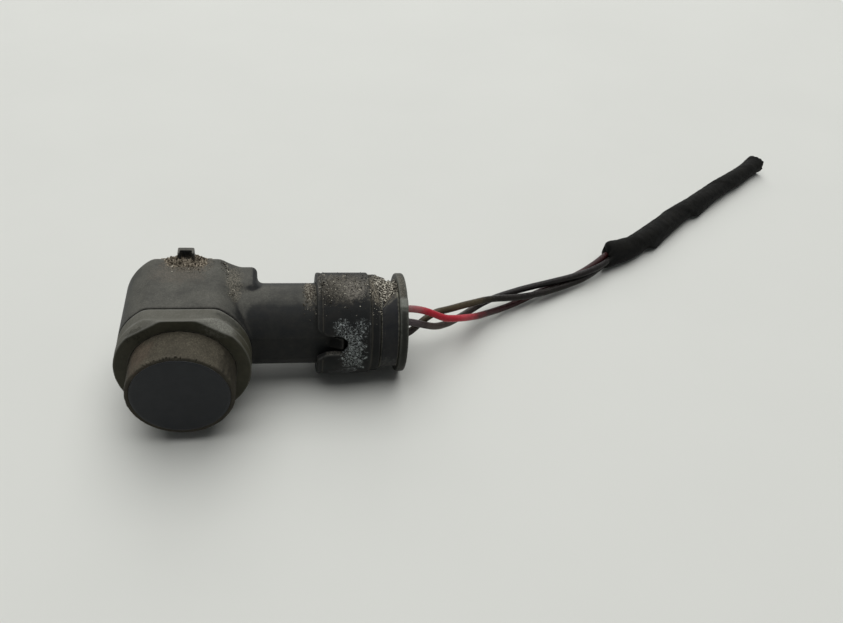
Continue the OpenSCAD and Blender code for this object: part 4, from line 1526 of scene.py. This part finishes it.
    def bezel_skin(self) -> Skin:
        """Carries the bezel's section round the axis: a row mixes bore and outline and adds an offset.

        Returns:
            The closed surface.
        """
        cols, e, f = self.bezel_cols, self.lip_round, self.bezel_round
        bore, lead, end = self.bezel_bore, self.bezel_lead, self.bezel_len
        rows = [(lead, 0, 0, 0), (0, 1, -e, 0)]
        rows += [(0, 1, e * math.sin(q) - e, e - e * math.cos(q)) for q in QUARTER[1:]]
        rows += [(0, 1, 0, self.lip_len), (0, 1, 0, self.lip_len + self.lip_drop), (0, 1, 0, end - f)]
        rows += [(0, 1, f * math.cos(q) - f, end - f + f * math.sin(q)) for q in QUARTER[1:]]
        rows += [(bore, 0, 0, end), (bore, 0, 0, lead - bore), (lead, 0, 0, 0)]
        w = dense(rows, 0.5)[:-1]
        radius = w[:, :1] + w[:, 1:2] * self.bezel_outline(w[:, 3:4], around(cols)) + w[:, 2:3]
        place = np.repeat(w[:, 3:4], cols, axis=1)
        points = turned(np.stack([radius, place], -1), Axis.HEAD, cols)
        radius += self.bezel_wave * ripple(points, 2.5, 51) * (radius > lead + 0.2)
        return grid_skin(turned(np.stack([radius, place], -1), Axis.HEAD, cols), wrap_rows=True)

    def ring_skin(self) -> Skin:
        """Turns the silicone ring, its outer wall a little lumpy, with fine nicks across the top of its lip.

        Returns:
            The closed surface.
        """
        cols, front, bore, out = self.ring_cols, self.ring_front, self.cup_r, self.ring_r
        e, f, b = self.ring_rounds
        path = [[bore, self.seat], [bore, front + e], *arc([bore + e, front + e], e, 180, 270),
                *arc([out - f, front + f], f, -90, 0), [out, -b], *arc([out - b, -b], b, 0, 90, 3),
                [self.tail_r, 0.0], [self.tail_r, self.seat], [bore, self.seat]]
        profile = np.repeat(dense(path, 0.3)[:-1][:, None], cols, axis=1)
        points = turned(profile, Axis.HEAD, cols)
        outside = ease(profile[..., 0], out - 0.25, out - 0.05)
        coarse, fine = self.ring_waves
        profile[..., 0] += outside * (coarse * ripple(points, 2.4, 61) + fine * ripple(points, 0.9, 62)
                                      - self.ring_sink)
        rng = np.random.default_rng(63)
        at = rng.uniform(-self.nick_span, self.nick_span, self.nicks)
        wide = rng.uniform(*self.nick_width, self.nicks)
        deep = rng.uniform(*self.nick_depth, self.nicks)
        off = off_angle(np.degrees(around(cols))[:, None], at)
        nick = (deep * np.exp(-((off / wide) ** 2))).sum(1)
        at_lip = np.exp(-((profile[..., 1] - front) / self.nick_reach) ** 2)
        at_lip *= ease(profile[..., 0], bore + 0.2, out - 0.3)
        profile[..., 1] += self.nick_share * at_lip * nick
        return grid_skin(turned(profile, Axis.HEAD, cols), wrap_rows=True)

    def cup_skin(self) -> Skin:
        """Turns the cup: a flat sound face with a soft rim, its skirt and the hollow behind.

        Returns:
            The closed surface.
        """
        back, inside, out = -self.cup_reach, self.face_t - self.cup_reach, self.cup_r
        flat, bore, lip = out - self.dish, out - self.cup_wall, self.face_lip
        path = [[POLE, back], [flat, back], *arc([flat, back + self.dish_r], self.dish_r, -90, -64, 4),
                *arc([out - lip, back + self.face_drop], lip, -50, 0, 4), [out, self.seat],
                [bore, self.seat], [bore, inside], [POLE, inside]]
        return grid_skin(turned(dense(path, 0.5), Axis.HEAD, self.cup_cols), caps=True)

    def housing_finish(self) -> Weathered:
        """Gives the housing's black plastic, with haze and earth by the tab, sand in the creases and painted
        shade on the catch.

        Returns:
            The finish.
        """
        haze = DATUM.spot(-1.5, self.back_y - 6, DATUM.barrel_flat)
        tab = DATUM.spot(0.3, self.back_y - 2.4, DATUM.barrel_flat)
        crease, by_sleeve = DATUM.spot(10.9, 17.8, 10.4), DATUM.on_neck(28.9, 2, DATUM.neck_r)
        catch, sand = DATUM.on_neck(34.4, DATUM.catch_angle, 10.6), srgb(98, 94, 84)
        return Weathered(
            "housing_plastic", srgb(35, 36, 36), srgb(43, 43, 41), srgb(105, 104, 97), level=0.74,
            gloss=0.46, dust_high=0.8, sheltered=15.0, speckle=0.2, edge_share=0.26,
            patches=(Patch(haze, (7.5, 4.5, 2.0), srgb(104, 96, 86), 0.35, speckle=0.4),
                     Patch(tab, (6.4, 3.4, 1.8), srgb(92, 85, 74), 0.8),
                     Patch(crease, (2.4, 7.0, 3.4), sand, 0.8),
                     Patch(by_sleeve, (2.2, 5.6, 2.6), sand, 0.75),
                     # The last patch is painted shade: the catch lies dark down in the sleeve's notch.
                     Patch(catch, (3.2, 2.6, 2.8), srgb(15, 15, 14), 0.9, 0.6, 0.3)))

    def bezel_finish(self) -> Weathered:
        """Gives the bezel's olive plastic, with a painted highlight on the right facet, and dark on the left
        one and the collar.

        Returns:
            The finish.
        """
        marks = ((8.4, 1.5, 12.4), (-9.6, 0.4, 11.0), (10.2, 4.6, 11.2))
        right, left, collar = (DATUM.spot(*mark) for mark in marks)
        return Weathered(
            "bezel_plastic", srgb(60, 59, 49), srgb(68, 66, 55), srgb(110, 109, 102), level=0.78,
            dust_share=0.85, dust_high=0.8, speckle=0.15, edge=srgb(126, 126, 120), edge_share=0.45,
            crease_share=0.0,
            # The first patch is a painted highlight, the pale crescent on the right facet.
            patches=(Patch(right, (6.0, 1.8, 4.6), srgb(128, 128, 120), 0.7, 1.2, 0.3),
                     Patch(left, (3.8, 0.9, 2.9), srgb(40, 39, 33), 0.65, 2.6),
                     Patch(collar, (4.4, 1.5, 4.4), srgb(50, 51, 47), 0.6, 1.6, 0.3)))

    def ring_finish(self) -> Weathered:
        """Gives the ring's dusty silicone, with a brown stained patch on its upper left."""
        patch_mark = DATUM.spot(-8.4, -4, 8.0)
        return Weathered(
            "dusty_silicone", srgb(54, 51, 43), srgb(46, 43, 37), srgb(94, 89, 77),
            dust_share=0.75, dust_low=0.1, edge=srgb(116, 111, 100), edge_share=0.15, gloss=0.65,
            dull=0.92, grain=0.4, grain_scale=3.0,
            patches=(Patch(patch_mark, (4.5, 5.0, 5.0), srgb(94, 79, 68), 0.35, speckle=0.4),))

    def face_finish(self) -> Weathered:
        """Gives the sound face's paint, paler along its rim: partly the paint's edge, partly painted
        highlight on the upper side.
        """
        return Weathered(
            "face_paint", srgb(29, 31, 34), srgb(33, 35, 38), srgb(70, 70, 70), level=0.25, dust_share=0.35,
            edge=srgb(104, 103, 101), edge_share=0.8, gloss=0.44, dull=0.7, grain=0.12, grain_scale=6.0,
            specular=0.2)

    def build(self, effects: Effects) -> None:
        """Makes and dresses the head's visible pieces.

        Args:
            effects: the shared node groups.
        """
        housing = field_skin(self.housing_field, self.space_low, self.space_high, self.cell).laid()
        make_piece("housing_moulded", housing, self.housing_finish().make(effects), Slot.HOUSING, ["housing"])
        make_piece("front_bezel_moulded", self.bezel_skin().laid(), self.bezel_finish().make(effects),
                   Slot.HOUSING, ["front_bezel"])
        make_piece("decoupling_ring_worn", self.ring_skin().laid(), self.ring_finish().make(effects),
                   Slot.SILICONE, ["decoupling_ring"], 50)
        make_piece("transducer_cup_painted", self.cup_skin().laid(), self.face_finish().make(effects),
                   Slot.FACE, ["transducer_cup"])


@dataclass
class Plug:
    """The mated plug: lock sleeve with its notch, plug body with its grip panel, and rear cap with seals."""

    sleeve_cell: float = 0.2
    sleeve_low: Point = (29.2, 2.7, -13.0)
    sleeve_high: Point = (45.6, 28.7, 13.0)
    sleeve_x: float = 30.0
    sleeve_edge: float = 0.5
    bore_r: float = 10.0
    bore_edge: float = 0.35
    rim_x: float = 42.6
    rim_len: float = 2.2
    rim_step: float = 0.5
    rim_edge: float = 0.45
    rim_fillet: float = 0.2
    bead_x: float = 31.35
    bead_depth: float = 0.18
    bead_width: float = 0.26
    notch_x: float = 34.9
    notch_w: float = 4.6
    notch_floor: float = 2.0
    notch_edge: float = 0.45
    mouth_w: float = 7.6
    mouth_len: float = 2.4
    mouth_round: float = 0.6
    body_cell: float = 0.25
    body_low: Point = (22.6, 3.4, -12.4)
    body_high: Point = (50.1, 28.0, 12.4)
    body_edge: float = 0.3
    nose_r: float = 7.5
    nose_x: float = 23.4
    nose_edge: float = 0.5
    groove_r: float = 6.6
    groove_x: float = 29.4
    groove_len: float = 5.0
    rear_r: float = 9.9
    rear_x: float = 41.4
    shoulder_x: float = 44.9
    shoulder_end: float = 46.7
    shoulder_r: float = 11.3
    shoulder_fall: float = 0.6
    shoulder_edge: float = 0.4
    panel_r: float = 11.4
    panel_in: float = 4.0
    panel_edge: float = 0.6
    panel_angle: float = 75.0
    panel_reach: float = 7.8
    panel_slant: float = 2.6
    channel_half: float = 1.35
    channel_x: float = 25.0
    seal_r: float = 1.9
    cap_cols: int = 480
    cap_x: float = 49.3
    cap_edge: float = 0.4
    recess_out: Pair = (1.6, 1.9)
    recess_in: Pair = (6.6, 6.2)
    recess: float = 0.3
    lug_w: float = 2.2
    lug_h: float = 0.4
    lug_angle: float = 28.0
    lug_side: Pair = (-0.012, 0.02)
    rows: tuple[int, int, int] = (-1, 0, 1)
    stub_r: float = 1.45
    stub_bore: float = 0.85
    stub_in: float = 0.6
    stub_out: float = 0.45
    sand: Colour = srgb(112, 106, 93)

    def sleeve_field(self, x: Array, y: Array, z: Array) -> Array:
        """Distance to the sleeve: a thick tube with a stepped rim and a bead groove, less the flared notch.

        Args:
            x: places along the neck.
            y: places along the head.
            z: heights.

        Returns:
            The distance, negative inside.
        """
        round_x = np.hypot(y - DATUM.neck_y, z)
        out_r = round_x - DATUM.sleeve_r
        groove = self.bead_depth * np.exp(-((x - self.bead_x) / self.bead_width) ** 2)
        tube = smooth_max(out_r + groove, self.sleeve_x - x, self.sleeve_edge)
        tube = smooth_max(tube, x - self.rim_x, self.sleeve_edge)
        rim = smooth_max(out_r + self.rim_step, x - self.rim_x - self.rim_len, self.rim_edge)
        rim = np.maximum(rim, self.rim_x - 1 - x)
        shell = smooth_max(smooth_min(tube, rim, self.rim_fillet), self.bore_r - round_x, self.bore_edge)
        across, out = DATUM.turned_about(y, z, DATUM.catch_angle)
        half = self.notch_w / 2
        stem = np.hypot(across, np.maximum(x - self.notch_x, 0)) - half
        flare = (self.mouth_w - self.notch_w) / 2 / self.mouth_len
        mouth = (np.abs(across) - half - flare * (self.sleeve_x + self.mouth_len - x)) / math.hypot(1, flare)
        notch = np.maximum(smooth_min(stem, mouth, self.mouth_round), self.notch_floor - out)
        return smooth_max(shell, -notch, self.notch_edge)

    def body_field(self, x: Array, y: Array, z: Array) -> Array:
        """Distance to the plug body: nose, rear, shoulder and grip panel, less the groove and the channels.

        Args:
            x: places along the neck.
            y: places along the head.
            z: heights.

        Returns:
            The distance, negative inside.
        """
        edge, past_cap = self.body_edge, x - self.cap_x
        round_x = np.hypot(y - DATUM.neck_y, z)
        nose = smooth_max(round_x - self.nose_r, self.nose_x - x, self.nose_edge)
        nose = smooth_max(nose, past_cap, edge)
        half = self.groove_len / 2
        groove = np.maximum(np.abs(x - self.groove_x - half) - half, self.groove_r - round_x)
        rear = smooth_max(smooth_max(round_x - self.rear_r, self.rear_x - x, edge), past_cap, edge)
        share = np.clip((x - self.shoulder_x) / (self.shoulder_end - self.shoulder_x), 0, 1)
        fall = round_x - self.shoulder_r + self.shoulder_fall * share
        shoulder = smooth_max(fall, self.shoulder_x - x, self.shoulder_edge)
        shoulder = smooth_max(shoulder, x - self.shoulder_end, self.shoulder_edge)
        across, out = DATUM.turned_about(y, z, self.panel_angle)
        start = self.shoulder_x + self.shoulder_edge
        top = across - self.panel_reach - self.panel_slant * (x - start) / (self.cap_x - start)
        panel = smooth_max(round_x - self.panel_r, start - x, self.panel_edge)
        panel = smooth_max(panel, np.maximum(past_cap, self.panel_in - out), edge)
        panel = smooth_max(panel, top, self.panel_edge)
        panel = smooth_max(panel, -self.panel_reach - across, self.panel_edge)
        solid = smooth_min(smooth_min(rear, shoulder, edge), panel, edge)
        solid = np.minimum(np.maximum(nose, -groove), solid)
        for row in self.rows:
            side, level = y - DATUM.neck_y, z - row * DATUM.row_pitch
            square = np.maximum(np.abs(side), np.abs(level)) - self.channel_half
            channel = np.maximum(square, self.channel_x - x)
            seal = np.maximum(np.hypot(side, level) - self.seal_r, DATUM.seal_x - x)
            solid = np.maximum(solid, -np.minimum(channel, seal))
        return solid

    def cap_skin(self) -> Skin:
        """Carries the cap's section round the axis, with the radius raised over its two finger lugs.

        Returns:
            The closed surface.
        """
        cols, e, front, end = self.cap_cols, self.cap_edge, self.cap_x, DATUM.cap_end
        radius = np.full(cols, DATUM.cap_r)
        half = self.lug_w / 2 / DATUM.cap_r
        for angle in (self.lug_angle, self.lug_angle + 180):
            off = np.abs(off_angle(around(cols), math.radians(angle), TURN))
            radius = radius + self.lug_h * (1 - ease(off, *(half + side for side in self.lug_side)))
        rows = [(0, POLE, front), (1, -e, front)]
        rows += [(1, e * math.sin(q) - e, front + e - e * math.cos(q)) for q in QUARTER[1:]]
        rows += [(1, e * math.cos(q) - e, end - e + e * math.sin(q)) for q in QUARTER]
        levels = (end, end - self.recess, end - self.recess, end)
        recess = (*(DATUM.cap_r - less for less in self.recess_out), *self.recess_in)
        rows += [*((0, r, level) for r, level in zip(recess, levels)), (0, POLE, end)]
        w = dense(rows, 0.5)
        profile = np.stack([w[:, :1] * radius + w[:, 1:2], np.repeat(w[:, 2:3], cols, axis=1)], -1)
        return grid_skin(turned(profile, Axis.NECK, cols), caps=True)

    def stub_skin(self) -> Skin:
        """Turns a tapered seal lip about each wire where it leaves the cap.

        Returns:
            The three lips.
        """
        foot, top, bore, r = -self.stub_in, self.stub_out, self.stub_bore, self.stub_r
        path = dense([[bore, foot], [r, foot], [r, 0.15], [r - 0.12, 0.27], [1.12, 0.4], [1.02, top],
                      [0.9, top], [bore, foot]], 0.2)[:-1]
        ring = turned(path + [0, DATUM.cap_end], Axis.NECK, 32)
        return join_skins([grid_skin(ring + [0, 0, row * DATUM.row_pitch], wrap_rows=True)
                           for row in self.rows])

    def sleeve_finish(self) -> Weathered:
        """Gives the sleeve's black plastic: earth and sand on top, and white scratches round the notch.

        Returns:
            The finish.
        """
        def on_top(x: float, angle: float) -> Point:
            """Gives a laid point on the sleeve."""
            return DATUM.on_neck(x, angle, DATUM.sleeve_r)

        white = srgb(164, 170, 169)
        return Weathered(
            "sleeve_plastic", srgb(31, 32, 32), srgb(38, 38, 37), srgb(112, 109, 101), level=0.62,
            gloss=0.45, dust_low=0.87, dust_high=0.97, speckle=0.9,
            edge=srgb(104, 104, 99), edge_share=0.18, specular=0.05,
            patches=(Patch(on_top(36, 6), (6.0, 6.0, 3.0), srgb(96, 91, 80), 0.4),
                     Patch(on_top(32.6, 14), (2.8, 4.6, 2.6), srgb(46, 44, 39), 0.7, 2.4),
                     Patch(on_top(38.6, 8), (3.2, 3.6, 2.0), srgb(118, 114, 107), 0.5, 2.4, 0.4),
                     Patch(on_top(43.8, 4), (1.8, 7.0, 3.5), self.sand, 0.8)),
            scuffs=(Scuff(on_top(38.4, 82), (3.1, 5.0, 8.6), white, 0.85),
                    Scuff(on_top(36.0, 56), (2.8, 3.4, 2.6), white, 0.5),
                    Scuff(on_top(40.3, 54), (2.2, 3.0, 2.4), white, 0.4),
                    Scuff(on_top(36.0, 128), (4.0, 5.0, 4.0), srgb(120, 122, 122), 0.5)))

    def body_finish(self) -> Weathered:
        """Gives the plug body's black plastic, with sand on top and a dull patch low on the grip panel."""
        return Weathered(
            "plug_plastic", srgb(34, 35, 37), srgb(42, 42, 42), srgb(104, 100, 88), level=0.78,
            gloss=0.4, dust_low=0.93, dust_high=0.995, speckle=0.6,
            edge=srgb(128, 126, 114), edge_share=0.75,
            patches=(Patch(DATUM.on_neck(46.5, 2, 10.5), (3.0, 4.2, 3.0), self.sand, 0.8),
                     Patch(DATUM.on_neck(46.0, 112, 11.2), (4.2, 3.6, 3.0), srgb(78, 78, 75), 0.5, 2.4, 0.8)))

    def cap_finish(self) -> Weathered:
        """Gives the cap's olive plastic, sandy on top and pale on its lug."""
        lug = DATUM.on_neck(50.3, self.lug_angle, 12.6)
        return Weathered(
            "cap_plastic", srgb(36, 37, 34), srgb(44, 44, 40), srgb(98, 97, 89), level=0.75, dust_share=0.6,
            gloss=0.45, dust_low=0.55, dust_high=0.95, speckle=0.5, edge=srgb(112, 113, 106), edge_share=0.45,
            patches=(Patch(DATUM.on_neck(49.6, 0, 12.1), (1.6, 7.0, 3.0), self.sand, 0.35),
                     Patch(lug, (2.4, 2.1, 2.1), srgb(126, 128, 121), 1.0, 0.2, 0.15)))

    def build(self, effects: Effects) -> None:
        """Makes and dresses the plug's visible pieces.

        Args:
            effects: the shared node groups.
        """
        sleeve = field_skin(self.sleeve_field, self.sleeve_low, self.sleeve_high, self.sleeve_cell).laid()
        make_piece("lock_sleeve_moulded", sleeve, self.sleeve_finish().make(effects), Slot.PLUG,
                   ["lock_sleeve"])
        body = field_skin(self.body_field, self.body_low, self.body_high, self.body_cell).laid()
        make_piece("plug_body_moulded", body, self.body_finish().make(effects), Slot.PLUG, ["plug_body"])
        make_piece("rear_cap_moulded", self.cap_skin().laid(), self.cap_finish().make(effects), Slot.PLUG,
                   ["rear_cap"])
        rubber = Weathered("seal_lip_rubber", srgb(40, 38, 37), srgb(52, 48, 45), srgb(92, 86, 76), level=0.6,
                           gloss=0.6, edge_share=0.3)
        make_piece("seal_lips", self.stub_skin().laid(), rubber.make(effects), Slot.RUBBER)


@dataclass
class RoadDirt:
    """Dried dirt: cakes that fill the corners of the head and the plug, and loose grains on their tops."""

    seed: int = 7
    depth: float = 0.35
    least_t: float = 0.08
    sunk: float = 0.22
    rim: tuple[Pair, ...] = (
        (42.4, 12.2), (42.8, 11.8), (44.6, 11.7), (45.0, 11.3), (46.6, 10.75), (46.9, 10.2), (48.9, 10.1),
        (49.3, 10.9))
    mound_x: Pair = (-6.0, 5.8)
    mound_y: Pair = (20.6, 24.85)
    mound_full: Pair = (22.9, 24.3)
    mound_rise: float = 1.6
    largest: float = 0.26

    def cake(self, place: Callable[[Array, Array, Array], Array], u: Array, v: Array, height: Array) -> Skin:
        """Closes a patch of dirt between its top, at a height over the surface, and a bottom sunk into it.

        Args:
            place: gives own points for two coordinates on the surface and a height over it.
            u: first coordinate, in rows.
            v: second coordinate, in columns.
            height: rows by columns of heights, which fall under the surface along the border.

        Returns:
            The closed patch.
        """
        uu, vv = np.meshgrid(u, v, indexing="ij")
        top, low = place(uu, vv, height), place(uu, vv, np.minimum(height - self.least_t, -self.depth))
        return grid_skin(np.concatenate([top, low[:, ::-1]], axis=1), caps=True)

    def border(self, u: Array, v: Array) -> Array:
        """Gives a dome from 1 in the middle of a patch to 0 along its border."""
        s, t = np.linspace(-1, 1, len(u))[:, None], np.linspace(-1, 1, len(v))[None, :]
        return ease(1 - np.hypot(s, t), 0, 0.75)

    def heap(self, points: Array, dome: Array, rise: float, seed: int) -> Array:
        """Gives the height of a cake: its dome times clumps of three sizes, sunk at the border.

        Args:
            points: rows by columns of places on the surface.
            dome: share of the height there.
            rise: height of the cake.
            seed: seed of the clumps.

        Returns:
            Rows by columns of heights.
        """
        clumps = 0.6
        for k, (share, wave) in enumerate(((0.36, 2.4), (0.3, 0.9), (0.2, 0.42))):
            clumps = clumps + share * ripple(points, wave, seed + k)
        return rise * dome * np.maximum(clumps, 0.0) - self.sunk * (1 - dome)

    def surface_r(self, x: Array, radius: float | None) -> Array:
        """Gives the radius at places along the neck: the given one, or that of the rim and the rear body."""
        return np.interp(x, *zip(*self.rim)) if radius is None else np.full_like(x, radius)

    def cakes(self) -> Skin:
        """Lays the cakes at the sleeve's rim and the rear body, and at the neck by the sleeve.

        Returns:
            Both cakes.
        """
        skins = []
        for radius, x_run, angles, rise, seed in (
                (None, (42.3, 49.5, 80), (-58, 40, 200), 0.36, 71),
                (DATUM.neck_r, (26.6, 30.2, 40), (-50, 34, 150), 0.3, 81)):
            def place(x: Array, angle: Array, height: Array, radius: float | None = radius) -> Array:
                """Gives own points at X, an angle in degrees and a height over the turned surface."""
                return DATUM.beside(x, np.radians(angle), self.surface_r(x, radius) + height)

            x, a = np.linspace(*x_run), np.linspace(*angles)
            spots = place(*np.meshgrid(x, a, indexing="ij"), 0.0)
            skins.append(self.cake(place, x, a, self.heap(spots, self.border(x, a), rise, seed)))
        return join_skins(skins)

    def mound(self) -> Skin:
        """Lays the mound of earth round the tab, which rises towards the barrel's back edge and drops there.

        Returns:
            The mound.
        """
        def flat(x: Array, y: Array, height: Array) -> Array:
            """Gives own points on the barrel's flat."""
            return np.stack([x, y, DATUM.barrel_flat + height + 0 * x], -1)

        (front, back), (full_front, full_back) = self.mound_y, self.mound_full
        x, y = np.linspace(*self.mound_x, 120), np.linspace(front, back, 60)
        spots = flat(*np.meshgrid(x, y, indexing="ij"), 0.0)
        dome = ease(1 - np.abs(np.linspace(-1, 1, len(x))), 0, 0.6)[:, None]
        dome = dome * ease(y, front, full_front) * ease(y, back, full_back)
        return self.cake(flat, x, y, self.heap(spots, dome, self.mound_rise, 91))

    def grains(self) -> Skin:
        """Scatters grains: jittered solids of twenty faces, each with its own size, stretch and place.

        Returns:
            All grains, laid.
        """
        rng = np.random.default_rng(self.seed)
        g = (1 + math.sqrt(5)) / 2
        base = np.array([[-1, g, 0], [1, g, 0], [-1, -g, 0], [1, -g, 0], [0, -1, g], [0, 1, g], [0, -1, -g],
                         [0, 1, -g], [g, 0, -1], [g, 0, 1], [-g, 0, -1], [-g, 0, 1]]) / 1.9
        faces = np.array([[0, 11, 5], [0, 5, 1], [0, 1, 7], [0, 7, 10], [0, 10, 11], [1, 5, 9], [5, 11, 4],
                          [11, 10, 2], [10, 7, 6], [7, 1, 8], [3, 9, 4], [3, 4, 2], [3, 2, 6], [3, 6, 8],
                          [3, 8, 9], [4, 9, 5], [2, 4, 11], [6, 2, 10], [8, 6, 7], [9, 8, 1]])
        places = []
        for x_run, middle, spread, radius, count in (
                ((30.3, 42.4), 3, 15, DATUM.sleeve_r, 360), ((42.6, 49.2), 4, 20, None, 480),
                ((26.8, 29.9), 2, 16, DATUM.neck_r, 200)):
            x, a = rng.uniform(*x_run, count), np.radians(rng.normal(middle, spread, count))
            places.append(DATUM.beside(x, a, self.surface_r(x, radius)))
        count = 260
        y = rng.uniform(13, 23.6, count)
        a = np.radians(38 + 1.6 * (22 - y) + rng.normal(0, 3.5, count))
        places.append(np.stack([DATUM.head_r * np.sin(a), y, DATUM.head_r * np.cos(a)], 1))
        count = 110
        places.append(np.stack([rng.normal(0.3, 2.8, count), rng.uniform(19.0, 24.4, count),
                                np.full(count, DATUM.barrel_flat)], 1))
        middles = DATUM.laid(np.concatenate(places))
        count = len(middles)
        size = np.minimum(rng.lognormal(-2.2, 0.4, count), self.largest)
        shapes = base * rng.uniform(0.75, 1.25, (count, 12, 1)) * rng.uniform(0.6, 1.3, (count, 1, 3))
        points = middles[:, None] + shapes * size[:, None, None]
        starts = 12 * np.arange(count)[:, None, None]
        return Skin(points.reshape(-1, 3), np.zeros((0, 4), int), (starts + faces).reshape(-1, 3))

    def build(self, effects: Effects) -> None:
        """Makes the cakes, the mound and the grains.

        Args:
            effects: the shared node groups.
        """
        soil = Soil().make(effects)
        earth = Soil("tab_earth", srgb(172, 162, 145), srgb(118, 109, 95), srgb(56, 51, 43)).make(effects)
        make_piece("dirt_cakes", self.cakes().laid(), soil, Slot.HOUSING, sharp=70)
        make_piece("tab_mound", self.mound().laid(), earth, Slot.HOUSING, sharp=70)
        make_piece("dirt_grains", self.grains(), soil, Slot.HOUSING, sharp=30)


@dataclass(frozen=True)
class InnerWorks:
    """Finishes of the CAD nodes that stay as they are, by their material slot."""

    cover: Weathered = Weathered("cover_plastic", srgb(40, 40, 40), srgb(50, 50, 48), srgb(84, 82, 76),
                                 level=0.5, gloss=0.4)
    finishes: tuple[tuple[str, Inner], ...] = (
        ("foam", Inner("damping_foam", srgb(112, 112, 116), srgb(88, 88, 92), gloss=0.85, scale=2.5)),
        ("piezo_ceramic", Inner("fired_ceramic", srgb(206, 198, 172), srgb(184, 174, 146), gloss=0.5)),
        ("board", Inner("solder_mask", srgb(30, 92, 56), srgb(22, 76, 46), gloss=0.3)),
        ("electronics", Inner("component_mould", srgb(44, 44, 45), srgb(56, 56, 56), gloss=0.5)),
        ("bare_metal", Inner("tinned_metal", srgb(206, 204, 198), srgb(176, 172, 166), 1.0, 0.35)),
        ("contact_metal", Inner("tinned_contact", srgb(206, 196, 168), srgb(180, 168, 138), 1.0, 0.3)),
        ("seal_rubber", Inner("seal_silicone", srgb(150, 82, 58), srgb(126, 66, 46), gloss=0.6)))

    def build(self, effects: Effects) -> None:
        """Gives each node that isn't replaced the finish of its slot, and the cover the housing's.

        Args:
            effects: the shared node groups.
        """
        made = {slot: finish.make(effects) for slot, finish in self.finishes}
        made[Slot.HOUSING.value] = self.cover.make(effects)
        for part in frame["record"]["subparts"]:
            node, finish = frame["nodes"][part["node"]], made.get(part["material_slot"])
            if node.hide_render or finish is None:
                continue
            node.data.materials.clear()
            node.data.materials.append(finish)
            LOG.info("%s: kept, finish %s", part["node"], finish.name)


def main() -> None:
    """Builds the studio, the cords and then the other pieces."""
    logging.basicConfig(level=logging.INFO, format="%(message)s")
    Studio().set_up()
    effects = Effects()
    for assembly in (Pigtail(), SensorHead(), Plug(), RoadDirt(), InnerWorks()):
        assembly.build(effects)


if __name__ == "__main__":
    main()
